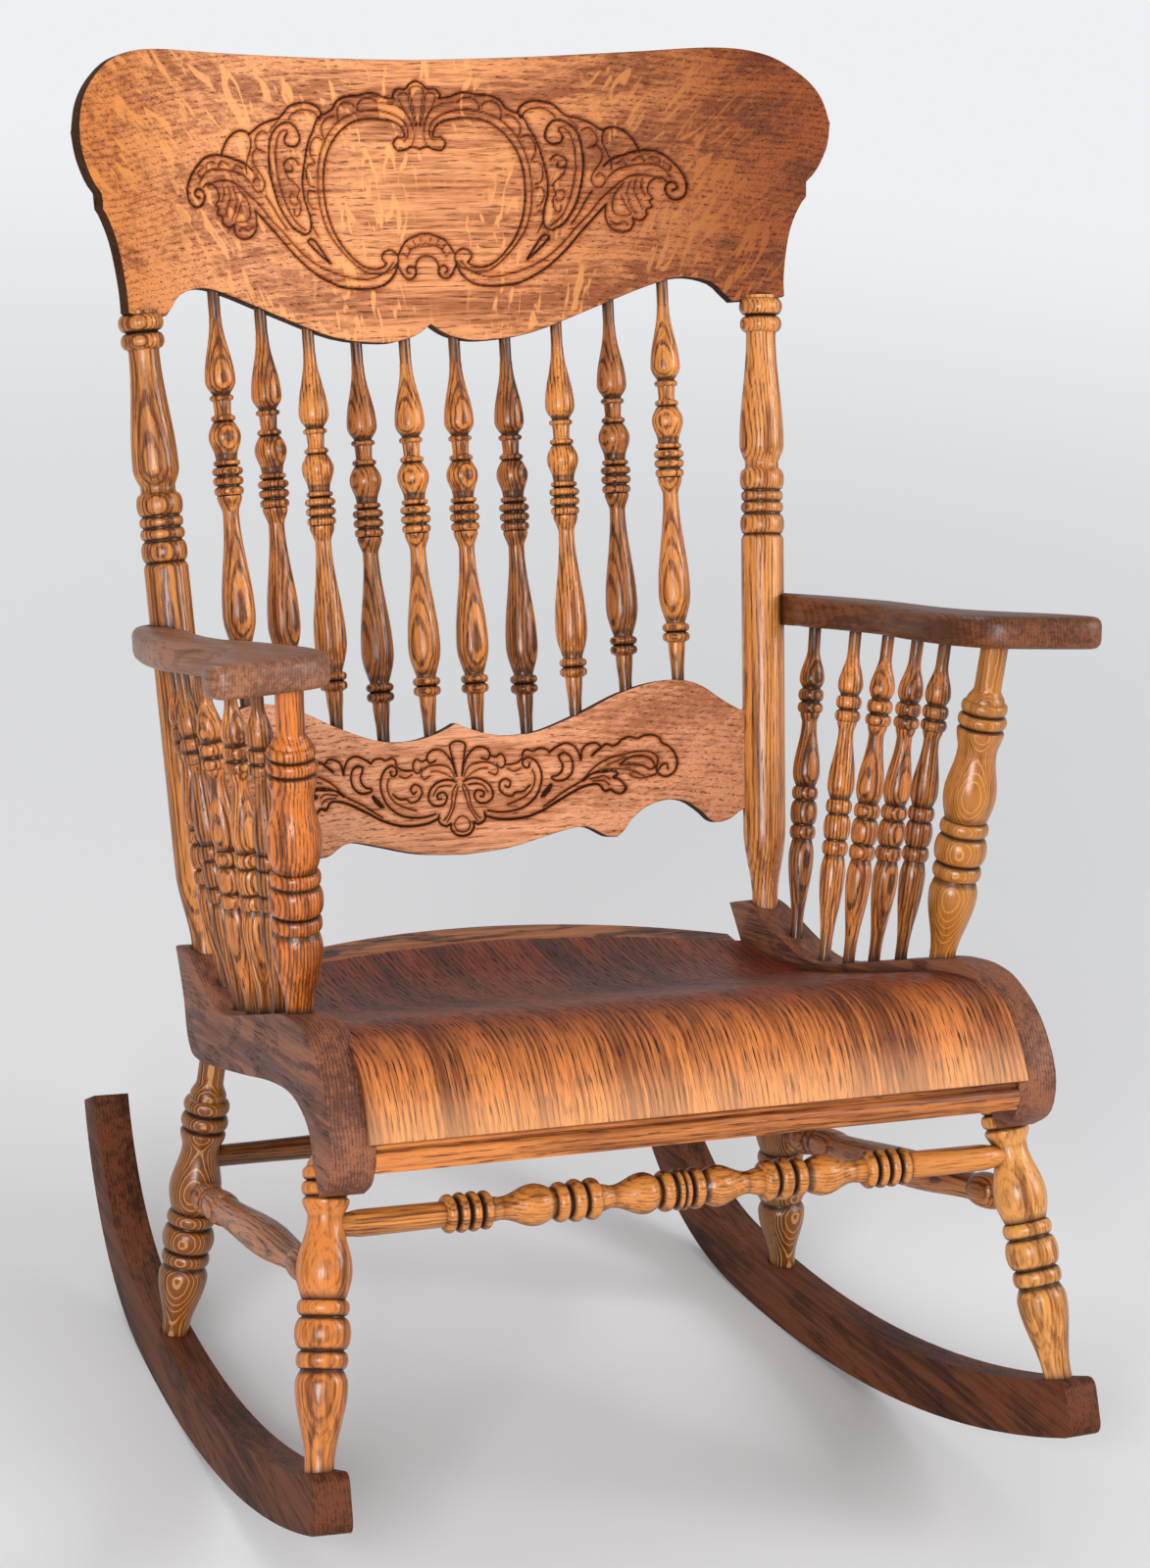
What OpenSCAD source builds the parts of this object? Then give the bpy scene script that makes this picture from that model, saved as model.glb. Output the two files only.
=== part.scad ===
// Pressed back rocking chair in oak: bent crest rail and slat, turned posts and spindles,
// bent seat with a rolled front, sawn side rails, shaped arms and a pair of rockers.
// The chair is drawn upright in its own working frame, and rest() leans it back on its rockers.
// +X is the right as seen from in front, -Y is the front, +Z is up.

/* [Seat] */
// Height of the side rails above the lowest point of the rockers, in the working frame
seat_z = 394; // [370:1:420]
// Width between the centre planes of the side rails, at the origin
seat_w = 536; // [500:1:580]
// Angle by which each side rail closes in towards the back
toe = 5; // [3:0.5:7]
// Thickness of the side rails
rail_t = 35; // [30:1:40]
// Length of the side rails from the roll to the horn
rail_len = 448; // [436:1:460]
// Thickness of the bent seat panel
panel_t = 7; // [5:0.5:9]
// Depth of the groove that holds the panel in each side rail
groove_in = 6; // [4:0.5:8]
// Height of the moulded strip under the front roll
strip_h = 22; // [18:1:24]
// Thickness of the moulded strip, without its bead
strip_t = 19; // [15:1:22]
// Height of the rear rail
rear_rail_h = 34; // [30:1:40]
// Width of the ledge under the back edge of the panel
ledge_w = 18; // [14:1:22]

/* [Rockers] */
// Radius of the main arc under the rockers
rocker_r = 1000; // [900:10:1150]
// Radius of the upturned tail
tail_r = 265; // [240:5:300]
// Depth of a rocker from top to bottom
rocker_h = 46; // [42:1:50]
// Thickness of a rocker
rocker_t = 30; // [28:1:36]
// Distance from the plane of the side rail out to the plane of the rocker
rocker_out = 27; // [15:1:35]

/* [Legs] */
// Largest diameter of the legs and arm posts
leg_d = 43; // [38:0.5:46]
// Diameter of the straight upper end of a leg, in the side rail
leg_head_d = 22; // [19:0.5:24]
// Diameter of a leg where it stands on the rocker
leg_foot_d = 24; // [22:0.5:26]
// Diameter of the pin at the bottom of a leg
leg_pin_d = 18; // [15:0.5:20]
// Length of the pin in the rocker
leg_pin_in = 28; // [20:1:34]
// Length of a leg inside the side rail
leg_in = 30; // [22:1:34]

/* [Stretchers] */
// Diameter of the stretcher ends in the legs
stretcher_end_d = 18; // [15:0.5:19]
// Largest diameter of the front stretcher
front_stretcher_d = 34; // [30:0.5:38]
// Largest diameter of the side stretchers
side_stretcher_d = 31; // [27:0.5:34]
// Largest diameter of the rear stretcher
rear_stretcher_d = 24; // [20:0.5:27]

/* [Arms] */
// Height of the underside of an arm above the side rail, at the arm post
arm_rise = 255; // [235:1:275]
// Thickness of an arm
arm_t = 26; // [25:1:30]
// Radius of the rounded edges of an arm
arm_edge_r = 7; // [5:0.5:8]
// Distance that an arm post leans out from its foot to its head
arm_post_out = 22.5; // [16:0.5:28]
// Distance that an arm post leans forward from its foot to its head
arm_post_forward = 41.5; // [36:0.5:48]
// Diameter of the straight ends of an arm post
arm_post_end_d = 21; // [18:0.5:23]
// Depth of the round notch in an arm that takes the back post
arm_notch = 11; // [8:0.5:13]
// Largest diameter of the arm spindles
arm_spindle_d = 23; // [19:0.5:26]
// Diameter of the ends of the arm spindles
arm_spindle_end_d = 10; // [8:0.5:12]
// Diameter of the screw through the arm
screw_d = 4.5; // [4:0.5:6]
// Diameter of the plug over the screw
plug_d = 11; // [9:0.5:11.5]

/* [Back] */
// Angle by which the back leans from the seat rails
back_lean = 8.8; // [7:0.2:10]
// Length of the back posts from the side rail to the crest
post_len = 524; // [500:1:550]
// Half the distance between the heads of the back posts
post_head_x = 281.5; // [272:0.5:290]
// Largest diameter of the back posts
post_d = 38; // [35:0.5:41]
// Diameter of the foot of a back post
post_foot_d = 22; // [19:0.5:24]
// Diameter of the pin at the head of a back post
post_pin_d = 12; // [9:0.5:13]
// Inner radius of the bend of the crest and slat
bend_r = 600; // [560:5:680]
// Thickness of the crest and slat
bent_t = 15; // [13:0.5:18]
// Distance from the post line back to the middle of the bend
bend_back = 57; // [52:0.5:62]
// Height of the crest above the posts, at its tallest
crest_h = 216; // [200:1:230]
// Height of the slat's lower ends above the side rail
slat_z = 86; // [70:1:100]
// Height of the slat at its ends
slat_end_h = 88; // [80:1:96]
// Distance between the spindles, along the crest
spindle_pitch = 45.5; // [43:0.5:47]
// Largest diameter of the back spindles
spindle_d = 27; // [23:0.5:30]
// Diameter of the ends of the back spindles
spindle_end_d = 9.6; // [8:0.2:11]

/* [Joinery] */
// Clearance round every pin and spindle end
fit = 0.15; // [0.1:0.05:0.3]
// Length of the foot of a back post or arm post inside the side rail
post_in = 24; // [20:1:28]
// Length of the pin of a back post inside the crest
post_pin_in = 21; // [16:1:24]
// Length of the end of an arm post inside the arm
arm_post_in = 18; // [12:1:20]
// Length of a spindle end inside the crest, slat, arm or rail
spindle_in = 15; // [10:1:17]

/* [Hidden] */
$fn = 72;
big = 1200;
oak = "#b9854a";
dark_oak = "#8d5a2e";
red_oak = "#7a4a30";
steel = "#8a8a88";

// Stations along the side rail, from the origin, front negative
k_rail = rail_len / 448;
front_foot_v = -264 * k_rail;
front_head_v = -202 * k_rail;
rear_foot_v = 158 * k_rail;
rear_head_v = 124 * k_rail;
post_v = 146 * k_rail;
arm_post_v = -128.5 * k_rail;
arm_spindle_v = [for (v = [93.5, 48, 10.5, -28.5, -69]) v * k_rail];
// Where each arm spindle meets the arm: out from the line between the posts, and share along it
arm_spindle_top = [[17.5, 0.83], [22.5, 0.68], [20, 0.525], [13, 0.37], [5, 0.221]];

// Places in the plane of the right side rail: out, along and up, turned into the working frame
function side(u, v, z) = [seat_w / 2 + u * cos(toe) - v * sin(toe), u * sin(toe) + v * cos(toe), z];
function mix(a, b, t) = a + (b - a) * t;
// The point at height z on the line from a to b
function at_height(a, b, z) = mix(a, b, (z - a.z) / (b.z - a.z));

// A smooth run through hand-set points, without its last point, so that runs can be joined
function between4(a, b, c, d, t) =
    0.5 * (2 * b + (c - a) * t + (2 * a - 5 * b + 4 * c - d) * t * t + (3 * b - a - 3 * c + d) * t * t * t);
function run(p, n = 4) = [for (i = [0:len(p) - 2]) for (k = [0:n - 1])
    between4(p[max(i - 1, 0)], p[i], p[i + 1], p[min(i + 2, len(p) - 1)], k / n)];
// A line moved sideways by t
function unit(v) = v / norm(v);
function tangent(p, i) = unit(p[min(i + 1, len(p) - 1)] - p[max(i - 1, 0)]);
function shifted(p, t) = [for (i = [0:len(p) - 1]) p[i] + t * [-tangent(p, i).y, tangent(p, i).x]];
function reversed(p) = [for (i = [len(p) - 1:-1:0]) p[i]];

// Side rail outline: along and up from the top of the rail
rail_top = [for (p = [[176, -3], [156, 1], [133, -4], [97, -19], [62, -31], [30, -33], [-16, -25],
    [-63, -15.5], [-127, -3], [-159, 0], [-186, -1], [-213, -9], [-246, -34], [-267, -73],
    [-262, -106], [-237, -122]]) k_rail * p];
rail_bottom = [for (p = [[-237, -122], [-222, -100], [-207, -74], [-165, -58.5], [-103, -60],
    [-13, -72], [106, -85], [139, -75], [152, -43], [164, -22], [176, -3]]) k_rail * p];
rail_outline = concat(run(rail_top), run(rail_bottom));
rail_heights = reversed([for (i = [1:9]) rail_top[i]]);
function on_rail(v) = seat_z + lookup(v, rail_heights);
post_z = on_rail(post_v);

// Seat panel, the line of its top face from back to front, and the plane of its back edge
panel_line = [for (p = [[204, -23], [186, -28], [147, -39], [115, -45.3], [83, -48.5], [52, -49],
    [6, -43], [-69, -30.4], [-120, -21], [-156, -15], [-191, -13.7], [-212, -16.5], [-233, -25.6],
    [-247, -40.5], [-259, -61], [-266, -79], [-269, -92]]) k_rail * p];
panel_top = concat(run(panel_line, 3), [panel_line[16]]);
rear_edge = panel_line[2];
rear_slope = 15.64;
rear_front_r = 714;
rear_back_r = 558;
rear_front_y = 40.5 * k_rail;
rear_back_y = 86 * k_rail;
strip_top = panel_line[15];

// Rockers: the main arc stands on z = 0 at its lowest point
arc_v = -60;
rocker_front = -14.1;
rocker_nose = 9;
rocker_bend = 16.4;
// The tail thins towards its end, because its upper arc is struck from a point set over by this much
tail_thin = 10;
tail_end = 73;
function rocker_top(v) = rocker_r - sqrt(pow(rocker_r - rocker_h, 2) - pow(v - arc_v, 2));
// The chair's centre of mass in the working frame, over which it comes to rest
balance_y = 60.5;
balance_z = 467.2;
arc_centre = side(rocker_out, arc_v, rocker_r);
// The rockers stand toed in, so their lowest point lies a little off the middle of the arc
toe_share = pow(sin(toe), 2);
rest_tilt = atan((balance_y - arc_centre.y) / (rocker_r - balance_z - rocker_r * toe_share));
contact_drop = rocker_r * sqrt(1 - toe_share * pow(sin(rest_tilt), 2));
contact_y = -pow(rocker_r, 2) / contact_drop * sin(rest_tilt) * cos(rest_tilt) * toe_share;

// Legs
front_foot = side(rocker_out, front_foot_v, rocker_top(front_foot_v) - 1.5);
front_head = side(0, front_head_v, seat_z - 72);
rear_foot = side(rocker_out, rear_foot_v, rocker_top(rear_foot_v) - 1.5);
rear_head = side(0, rear_head_v, seat_z - 83);
front_stretcher_z = 245;
side_stretcher_front_z = 209;
side_stretcher_rear_z = 193;
rear_stretcher_z = 221;
stretcher_trim = 3;
front_stretcher_at = at_height(front_foot, front_head, front_stretcher_z);
rear_stretcher_at = at_height(rear_foot, rear_head, rear_stretcher_z);
side_front_at = at_height(front_foot, front_head, side_stretcher_front_z);
side_rear_at = at_height(rear_foot, rear_head, side_stretcher_rear_z);

// Back posts, in the working frame and in the frame of the back, whose origin is between their feet
post_foot = side(0, post_v, post_z - 2);
back_y = post_foot.y;
back_z = post_foot.z;
function back_point(x, d, w) = [x, back_y + d * cos(back_lean) + w * sin(back_lean),
    back_z - d * sin(back_lean) + w * cos(back_lean)];
mid_r = bend_r + bent_t / 2;
bend_centre = bend_back - mid_r;
function bend_d(x) = bend_centre + sqrt(mid_r * mid_r - x * x);
post_head = back_point(post_head_x, bend_d(post_head_x), post_len);

// Arms: the foot and head of the right arm post, and the line to the back post
arm_post_foot = side(0, arm_post_v, on_rail(arm_post_v) - 2);
arm_z = seat_z + arm_rise;
arm_post_head = [arm_post_foot.x + arm_post_out, arm_post_foot.y - arm_post_forward, arm_z];
arm_fall = 0.0504;
arm_side_fall = 0.05;
arm_back_at = at_height(post_foot, post_head, arm_z - 6);
arm_run = [arm_back_at.x - arm_post_head.x, arm_back_at.y - arm_post_head.y];
arm_span = norm(arm_run);
arm_along = unit(arm_run);
arm_out = [arm_along.y, -arm_along.x];
// A point under the arm: out from the line between the posts, and along it
function under_arm(u, f) = [arm_post_head.x + u * arm_out.x + f * arm_span * arm_along.x,
    arm_post_head.y + u * arm_out.y + f * arm_span * arm_along.y,
    arm_z - arm_fall * f * arm_span - arm_side_fall * u];
function arm_spindle_foot(i) = side(-1, arm_spindle_v[i], on_rail(arm_spindle_v[i]));
function arm_spindle_head(i) = under_arm(arm_spindle_top[i].x, arm_spindle_top[i].y);
arm_flat = post_d / 2 - arm_notch;
// Plan of an arm: out from the line between the posts in mm, and share along it
arm_plan_hand = [[-1, 0.48], [-16, 0.34], [-27, 0.2], [-33, 0.08], [-30, -0.03], [-18, -0.09], [8, -0.123],
    [42, -0.148], [63, -0.152], [72, -0.12], [70, -0.04], [57, 0.05], [40, 0.13], [30, 0.22], [30, 0.34],
    [39, 0.48], [46, 0.62], [46, 0.77], [41, 0.91], [32, 1.03], [20, 1.065], [arm_flat, 1.06]];
arm_plan_rear = [[arm_flat, 1.06], [arm_flat, 0.915]];
arm_plan_inner = [[arm_flat, 0.915], [1, 0.83], [3.5, 0.74], [3.5, 0.61], [-1, 0.48]];
function in_span(p) = [for (q = p) [q.x, q.y * arm_span]];
arm_plan = concat(run(in_span(arm_plan_hand), 3), [in_span(arm_plan_rear)[0]],
    run(in_span(arm_plan_inner), 3));

// Crest outline, right half, from the middle of its lower edge out and over to the middle of the top:
// across the back, and up from the heads of the posts
k_cross = post_head_x / 281.5;
k_crest = crest_h / 216;
function crest_at(p) = [for (q = p) [q.x * k_cross, post_len + q.y * k_crest]];
crest_lower = crest_at([[0, -6], [11, -14], [23, -19], [45, -22], [90, -17], [145, 2], [190, 18.5],
    [218, 24], [240, 18], [249, 9], [256, 0]]);
crest_foot = crest_at([[256, 0], [296, 0]]);
crest_side = crest_at([[296, 0], [297, 18], [303, 52], [312, 74], [318, 82]]);
crest_ear = crest_at([[318, 82], [314, 89], [325, 102], [334, 122], [337, 142], [331, 167], [316, 188],
    [292, 206], [255, 215.5], [188, 216], [95, 216], [0, 215]]);
crest_half = concat(run(crest_lower), [crest_foot[0]], run(crest_side), run(crest_ear));
crest_outline = concat(crest_half, [crest_ear[11]], [for (i = [len(crest_half) - 1:-1:1])
    [-crest_half[i].x, crest_half[i].y]]);

// Slat outline, right half: its upper edge from the post in, and its lower edge from the middle out
slat_in = 11;
function post_x(w) = mix(post_foot.x, post_head_x, w / post_len);
slat_end_x = post_x(slat_z + slat_end_h / 2) - post_d / 2 + slat_in;
k_slat = (slat_end_x - slat_in) / 243;
function slat_at(p) = [for (q = p) [q.x * k_slat, slat_z + q.y]];
slat_upper = slat_at([[0, 90], [30, 80], [57, 78], [83, 82], [118, 94], [152, 107], [177, 114],
    [201, 115.5], [221, 107.5], [236, 96], [243, slat_end_h]]);
slat_lower = slat_at([[0, -21], [40, -18.5], [77, -10.5], [104, -4.5], [122, -8], [136, -14]]);
slat_lower_out = slat_at([[136, -14], [150, -0.5], [163, 9], [179, 14.3], [195, 13], [212, 6], [222, -5]]);
slat_tip = slat_at([[222, -5], [243, 0]]);
slat_half = concat(run(slat_lower), run(slat_lower_out), [slat_tip[0], slat_tip[1],
    [slat_end_x, slat_z], [slat_end_x, slat_z + slat_end_h]],
    reversed(concat(run(slat_upper), [slat_upper[10]])));
slat_outline = concat(slat_half, [for (i = [len(slat_half) - 2:-1:1]) [-slat_half[i].x, slat_half[i].y]]);

// Back spindles: their places along the crest and slat
spindle_fan = 0.965;
function spindle_x(i) = (i - 5.5) * spindle_pitch;
function spindle_head(i) = back_point(spindle_x(i), bend_d(spindle_x(i)), lookup(abs(spindle_x(i)), crest_lower));
function spindle_foot(i) = back_point(spindle_x(i) * spindle_fan, bend_d(spindle_x(i) * spindle_fan),
    lookup(abs(spindle_x(i)) * spindle_fan, slat_upper));

// Turning: each row is a shape, where it starts and ends as shares of the length, and its diameters
BEAD = "bead";
SWEEP = "sweep";
LINE = "line";
function turned_row(r, length) = r[0] == BEAD
    ? [for (k = [0:4]) [r[3] / 2 + (r[4] - r[3]) / 2 * sin(36 * k), length * mix(r[1], r[2], (1 - cos(36 * k)) / 2)]]
    : r[0] == SWEEP
    ? [for (k = [0:5]) [mix(r[3], r[4], (1 - cos(30 * k)) / 2) / 2, length * mix(r[1], r[2], k / 6)]]
    : [[r[3] / 2, length * r[1]]];
function turned_line(rows, length) = [for (r = rows) each turned_row(r, length)];
function flipped(rows) = [for (i = [len(rows) - 1:-1:0])
    [rows[i][0], 1 - rows[i][2], 1 - rows[i][1], rows[i][0] == BEAD ? rows[i][3] : rows[i][4],
    rows[i][0] == BEAD ? rows[i][4] : rows[i][3]]];
// A turning made of two like halves, given from the end to the middle
function both_halves(rows) = concat([for (r = rows) [r[0], r[1] / 2, r[2] / 2, r[3], r[4]]],
    flipped([for (r = rows) [r[0], r[1] / 2, r[2] / 2, r[3], r[4]]]));

// The vase and bead pattern of the legs and arm posts: foot, vase, ring, bead, ring, vase, three rings
function baluster(s, d, foot_d, head_d) = [
    [LINE, 0, s[0], foot_d, foot_d],
    [SWEEP, s[0], s[1], foot_d, 0.94 * d],
    [SWEEP, s[1], s[2], 0.94 * d, 0.78 * d],
    [BEAD, s[2], s[3], 0.8 * d, 0.95 * d],
    [BEAD, s[3], s[4], 0.8 * d, d],
    [BEAD, s[4], s[5], 0.8 * d, 0.95 * d],
    [SWEEP, s[5], s[6], 0.8 * d, 0.98 * d],
    [SWEEP, s[6], s[7], 0.98 * d, 0.77 * d],
    [BEAD, s[7], s[8], 0.76 * d, 0.93 * d],
    [BEAD, s[8], s[9], 0.76 * d, 0.93 * d],
    [BEAD, s[9], s[10], 0.72 * d, 0.87 * d],
    [SWEEP, s[10], s[11], 0.7 * d, head_d],
    [LINE, s[11], 1, head_d, head_d]];
front_leg_rows = baluster([0.03, 0.255, 0.295, 0.358, 0.44, 0.495, 0.57, 0.745, 0.79, 0.833, 0.873, 0.91],
    leg_d, leg_foot_d, leg_head_d);
rear_leg_rows = baluster([0.03, 0.215, 0.248, 0.3, 0.38, 0.44, 0.52, 0.705, 0.757, 0.81, 0.86, 0.9],
    leg_d, leg_foot_d, leg_head_d);
arm_post_rows = baluster([0.015, 0.217, 0.265, 0.325, 0.395, 0.453, 0.543, 0.707, 0.747, 0.787, 0.827, 0.865],
    leg_d, arm_post_end_d, arm_post_end_d);
// Diameter of the plain part of a back post, where the arm meets it
post_mid_d = 0.96 * post_d;
post_rows = [
    [LINE, 0, 0.012, post_foot_d, post_foot_d],
    [SWEEP, 0.012, 0.13, post_foot_d, post_mid_d],
    [LINE, 0.13, 0.6, post_mid_d, post_mid_d],
    [BEAD, 0.606, 0.638, 0.84 * post_d, 0.99 * post_d],
    [BEAD, 0.638, 0.66, 0.84 * post_d, 0.96 * post_d],
    [BEAD, 0.66, 0.68, 0.84 * post_d, 0.94 * post_d],
    [BEAD, 0.68, 0.716, 0.84 * post_d, post_d],
    [SWEEP, 0.722, 0.762, 0.76 * post_d, post_d],
    [SWEEP, 0.762, 0.94, post_d, 0.67 * post_d],
    [BEAD, 0.942, 0.968, 0.7 * post_d, 0.96 * post_d],
    [BEAD, 0.968, 0.994, 0.74 * post_d, 0.97 * post_d],
    [LINE, 0.994, 1, 0.76 * post_d, 0.76 * post_d]];
spindle_rows = [
    [LINE, 0, 0.01, spindle_end_d, spindle_end_d],
    [SWEEP, 0.01, 0.088, 1.15 * spindle_end_d, 0.54 * spindle_d],
    [BEAD, 0.09, 0.113, 0.7 * spindle_d, 0.87 * spindle_d],
    [BEAD, 0.113, 0.135, 0.66 * spindle_d, 0.87 * spindle_d],
    [SWEEP, 0.137, 0.22, 0.6 * spindle_d, 1.02 * spindle_d],
    [SWEEP, 0.22, 0.488, 1.02 * spindle_d, 0.55 * spindle_d],
    [BEAD, 0.505, 0.526, 0.7 * spindle_d, 0.88 * spindle_d],
    [BEAD, 0.526, 0.547, 0.72 * spindle_d, 0.94 * spindle_d],
    [BEAD, 0.547, 0.566, 0.72 * spindle_d, 0.96 * spindle_d],
    [BEAD, 0.566, 0.583, 0.66 * spindle_d, 0.87 * spindle_d],
    [LINE, 0.59, 0.605, 0.6 * spindle_d, 0.6 * spindle_d],
    [BEAD, 0.617, 0.674, 0.6 * spindle_d, spindle_d],
    [BEAD, 0.674, 0.686, 0.6 * spindle_d, 0.78 * spindle_d],
    [LINE, 0.692, 0.71, 0.5 * spindle_d, 0.5 * spindle_d],
    [BEAD, 0.717, 0.732, 0.56 * spindle_d, 0.74 * spindle_d],
    [BEAD, 0.745, 0.806, 0.5 * spindle_d, 0.94 * spindle_d],
    [SWEEP, 0.808, 0.93, 0.45 * spindle_d, spindle_end_d],
    [LINE, 0.93, 1, spindle_end_d, spindle_end_d]];
arm_spindle_rows = [
    [LINE, 0, 0.04, arm_spindle_end_d, arm_spindle_end_d],
    [SWEEP, 0.04, 0.24, arm_spindle_end_d, 0.9 * arm_spindle_d],
    [SWEEP, 0.24, 0.31, 0.9 * arm_spindle_d, 0.74 * arm_spindle_d],
    [BEAD, 0.315, 0.368, 0.76 * arm_spindle_d, 0.97 * arm_spindle_d],
    [BEAD, 0.368, 0.434, 0.76 * arm_spindle_d, 0.98 * arm_spindle_d],
    [BEAD, 0.434, 0.487, 0.76 * arm_spindle_d, arm_spindle_d],
    [SWEEP, 0.487, 0.515, 0.78 * arm_spindle_d, arm_spindle_d],
    [SWEEP, 0.515, 0.7, arm_spindle_d, 0.52 * arm_spindle_d],
    [BEAD, 0.712, 0.762, 0.66 * arm_spindle_d, 0.94 * arm_spindle_d],
    [BEAD, 0.762, 0.808, 0.66 * arm_spindle_d, 0.94 * arm_spindle_d],
    [BEAD, 0.808, 0.862, 0.62 * arm_spindle_d, 0.94 * arm_spindle_d],
    [SWEEP, 0.865, 0.93, 0.56 * arm_spindle_d, arm_spindle_end_d],
    [LINE, 0.93, 1, arm_spindle_end_d, arm_spindle_end_d]];
fs_d = front_stretcher_d;
front_stretcher_rows = both_halves([
    [LINE, 0, 0.05, stretcher_end_d, stretcher_end_d],
    [SWEEP, 0.05, 0.1, stretcher_end_d, 0.62 * fs_d],
    [LINE, 0.1, 0.3, 0.62 * fs_d, 0.64 * fs_d],
    [BEAD, 0.325, 0.357, 0.66 * fs_d, 0.9 * fs_d],
    [BEAD, 0.357, 0.39, 0.66 * fs_d, 0.92 * fs_d],
    [BEAD, 0.39, 0.422, 0.66 * fs_d, 0.92 * fs_d],
    [BEAD, 0.422, 0.455, 0.66 * fs_d, 0.9 * fs_d],
    [SWEEP, 0.457, 0.485, 0.62 * fs_d, 0.56 * fs_d],
    [SWEEP, 0.485, 0.6, 0.56 * fs_d, 0.97 * fs_d],
    [SWEEP, 0.6, 0.632, 0.97 * fs_d, 0.76 * fs_d],
    [BEAD, 0.634, 0.676, 0.76 * fs_d, 0.98 * fs_d],
    [BEAD, 0.676, 0.72, 0.76 * fs_d, fs_d],
    [BEAD, 0.72, 0.764, 0.76 * fs_d, 0.98 * fs_d],
    [SWEEP, 0.766, 0.8, 0.66 * fs_d, 0.54 * fs_d],
    [SWEEP, 0.8, 0.9, 0.54 * fs_d, 0.97 * fs_d],
    [SWEEP, 0.9, 0.935, 0.97 * fs_d, 0.74 * fs_d],
    [BEAD, 0.937, 0.978, 0.74 * fs_d, 0.97 * fs_d],
    [BEAD, 0.978, 1, 0.78 * fs_d, 0.96 * fs_d]]);
ss_d = side_stretcher_d;
side_stretcher_rows = [
    [LINE, 0, 0.08, stretcher_end_d, stretcher_end_d],
    [BEAD, 0.085, 0.15, stretcher_end_d, 0.9 * ss_d],
    [BEAD, 0.155, 0.178, 0.7 * ss_d, 0.82 * ss_d],
    [BEAD, 0.182, 0.262, 0.78 * ss_d, 0.92 * ss_d],
    [SWEEP, 0.265, 0.58, 0.78 * ss_d, ss_d],
    [SWEEP, 0.58, 0.825, ss_d, 0.72 * ss_d],
    [BEAD, 0.83, 0.915, 0.72 * ss_d, 0.95 * ss_d],
    [LINE, 0.92, 1, stretcher_end_d, stretcher_end_d]];
rear_stretcher_rows = both_halves([
    [LINE, 0, 0.09, stretcher_end_d, stretcher_end_d],
    [SWEEP, 0.09, 0.9, stretcher_end_d, rear_stretcher_d],
    [LINE, 0.9, 1, rear_stretcher_d, rear_stretcher_d]]);

// Frames
module rest() {
    translate([0, -contact_y, contact_drop]) rotate([-rest_tilt, 0, 0])
        translate([0, -arc_centre.y, -rocker_r]) children();
}
module hand(s) {
    if (s > 0) children();
    else mirror([1, 0, 0]) children();
}
module in_side() {
    translate([seat_w / 2, 0, 0]) rotate([0, 0, toe]) children();
}
module in_back() {
    translate([0, back_y, back_z]) rotate([-back_lean, 0, 0]) children();
}
module in_arm() {
    translate(arm_post_head) rotate([0, 0, atan2(arm_along.y, arm_along.x) - 90])
        rotate([-atan(arm_fall), atan(arm_side_fall), 0]) children();
}
module on_line(a, b) {
    v = b - a;
    translate(a) rotate([0, acos(v.z / norm(v)), atan2(v.y, v.x)]) children();
}
// A profile in along and up, drawn out across the chair by t about the local X = 0
module across(outline, t) {
    rotate([90, 0, 90]) linear_extrude(t, center = true) polygon(outline);
}

// A turned member from a to b, reaching on past each by the given lengths
module turned(rows, a, b, foot_in, head_in) {
    length = norm(b - a);
    line = turned_line(rows, length);
    first = line[0].x;
    last = rows[len(rows) - 1][4] / 2;
    on_line(a, b) rotate_extrude()
        polygon(concat([[0, -foot_in], [first, -foot_in]], [for (i = [1:len(line) - 1]) line[i]],
            [[last, length + head_in], [0, length + head_in]]));
}
// The space for a straight round end that enters at a, going away from b
module socket(a, b, d, depth, reach = 12) {
    on_line(a, b) translate([0, 0, -depth - 2 * fit]) cylinder(h = depth + 2 * fit + reach, d = d + 2 * fit);
}

// Rockers
module rocker_arc(r, from, to, thin = 0) {
    far = 2 * r;
    intersection() {
        difference() {
            circle(r = r, $fn = 360);
            translate(thin * [cos(from), sin(from)]) circle(r = r - rocker_h, $fn = 360);
        }
        polygon([[0, 0], far * [sin(from), -cos(from)], far * [sin((from + to) / 2), -cos((from + to) / 2)],
            far * [sin(to), -cos(to)]]);
    }
}
// What is taken off to round a corner of the front end
module nose_corner(r) {
    polygon(r * [[-1, 1.3], [-0.04, 1.15], [0.134, 0.5], [0.5, 0.134], [1.15, -0.04], [1.3, -1], [-1, -1]]);
}
module rocker(s) {
    bend = (rocker_r - tail_r) * [sin(rocker_bend), -cos(rocker_bend)];
    color(red_oak) hand(s) difference() {
        in_side() translate([rocker_out, arc_v, rocker_r]) rotate([90, 0, 90])
            linear_extrude(rocker_t, center = true) difference() {
                union() {
                    rocker_arc(rocker_r, rocker_front, rocker_bend + 0.1);
                    translate(bend) rocker_arc(tail_r, rocker_bend, tail_end, tail_thin);
                }
                rotate(rocker_front) translate([0, -rocker_r]) {
                    nose_corner(rocker_nose);
                    translate([0, rocker_h]) mirror([0, 1]) nose_corner(rocker_nose);
                }
            }
        leg_seat(front_foot, front_head);
        leg_seat(rear_foot, rear_head);
    }
}
module leg_seat(foot, head) {
    socket(foot, head, leg_pin_d, leg_pin_in);
    on_line(foot, head) translate([0, 0, -fit]) cylinder(h = 12, d = leg_foot_d + 2 * fit);
}

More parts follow.
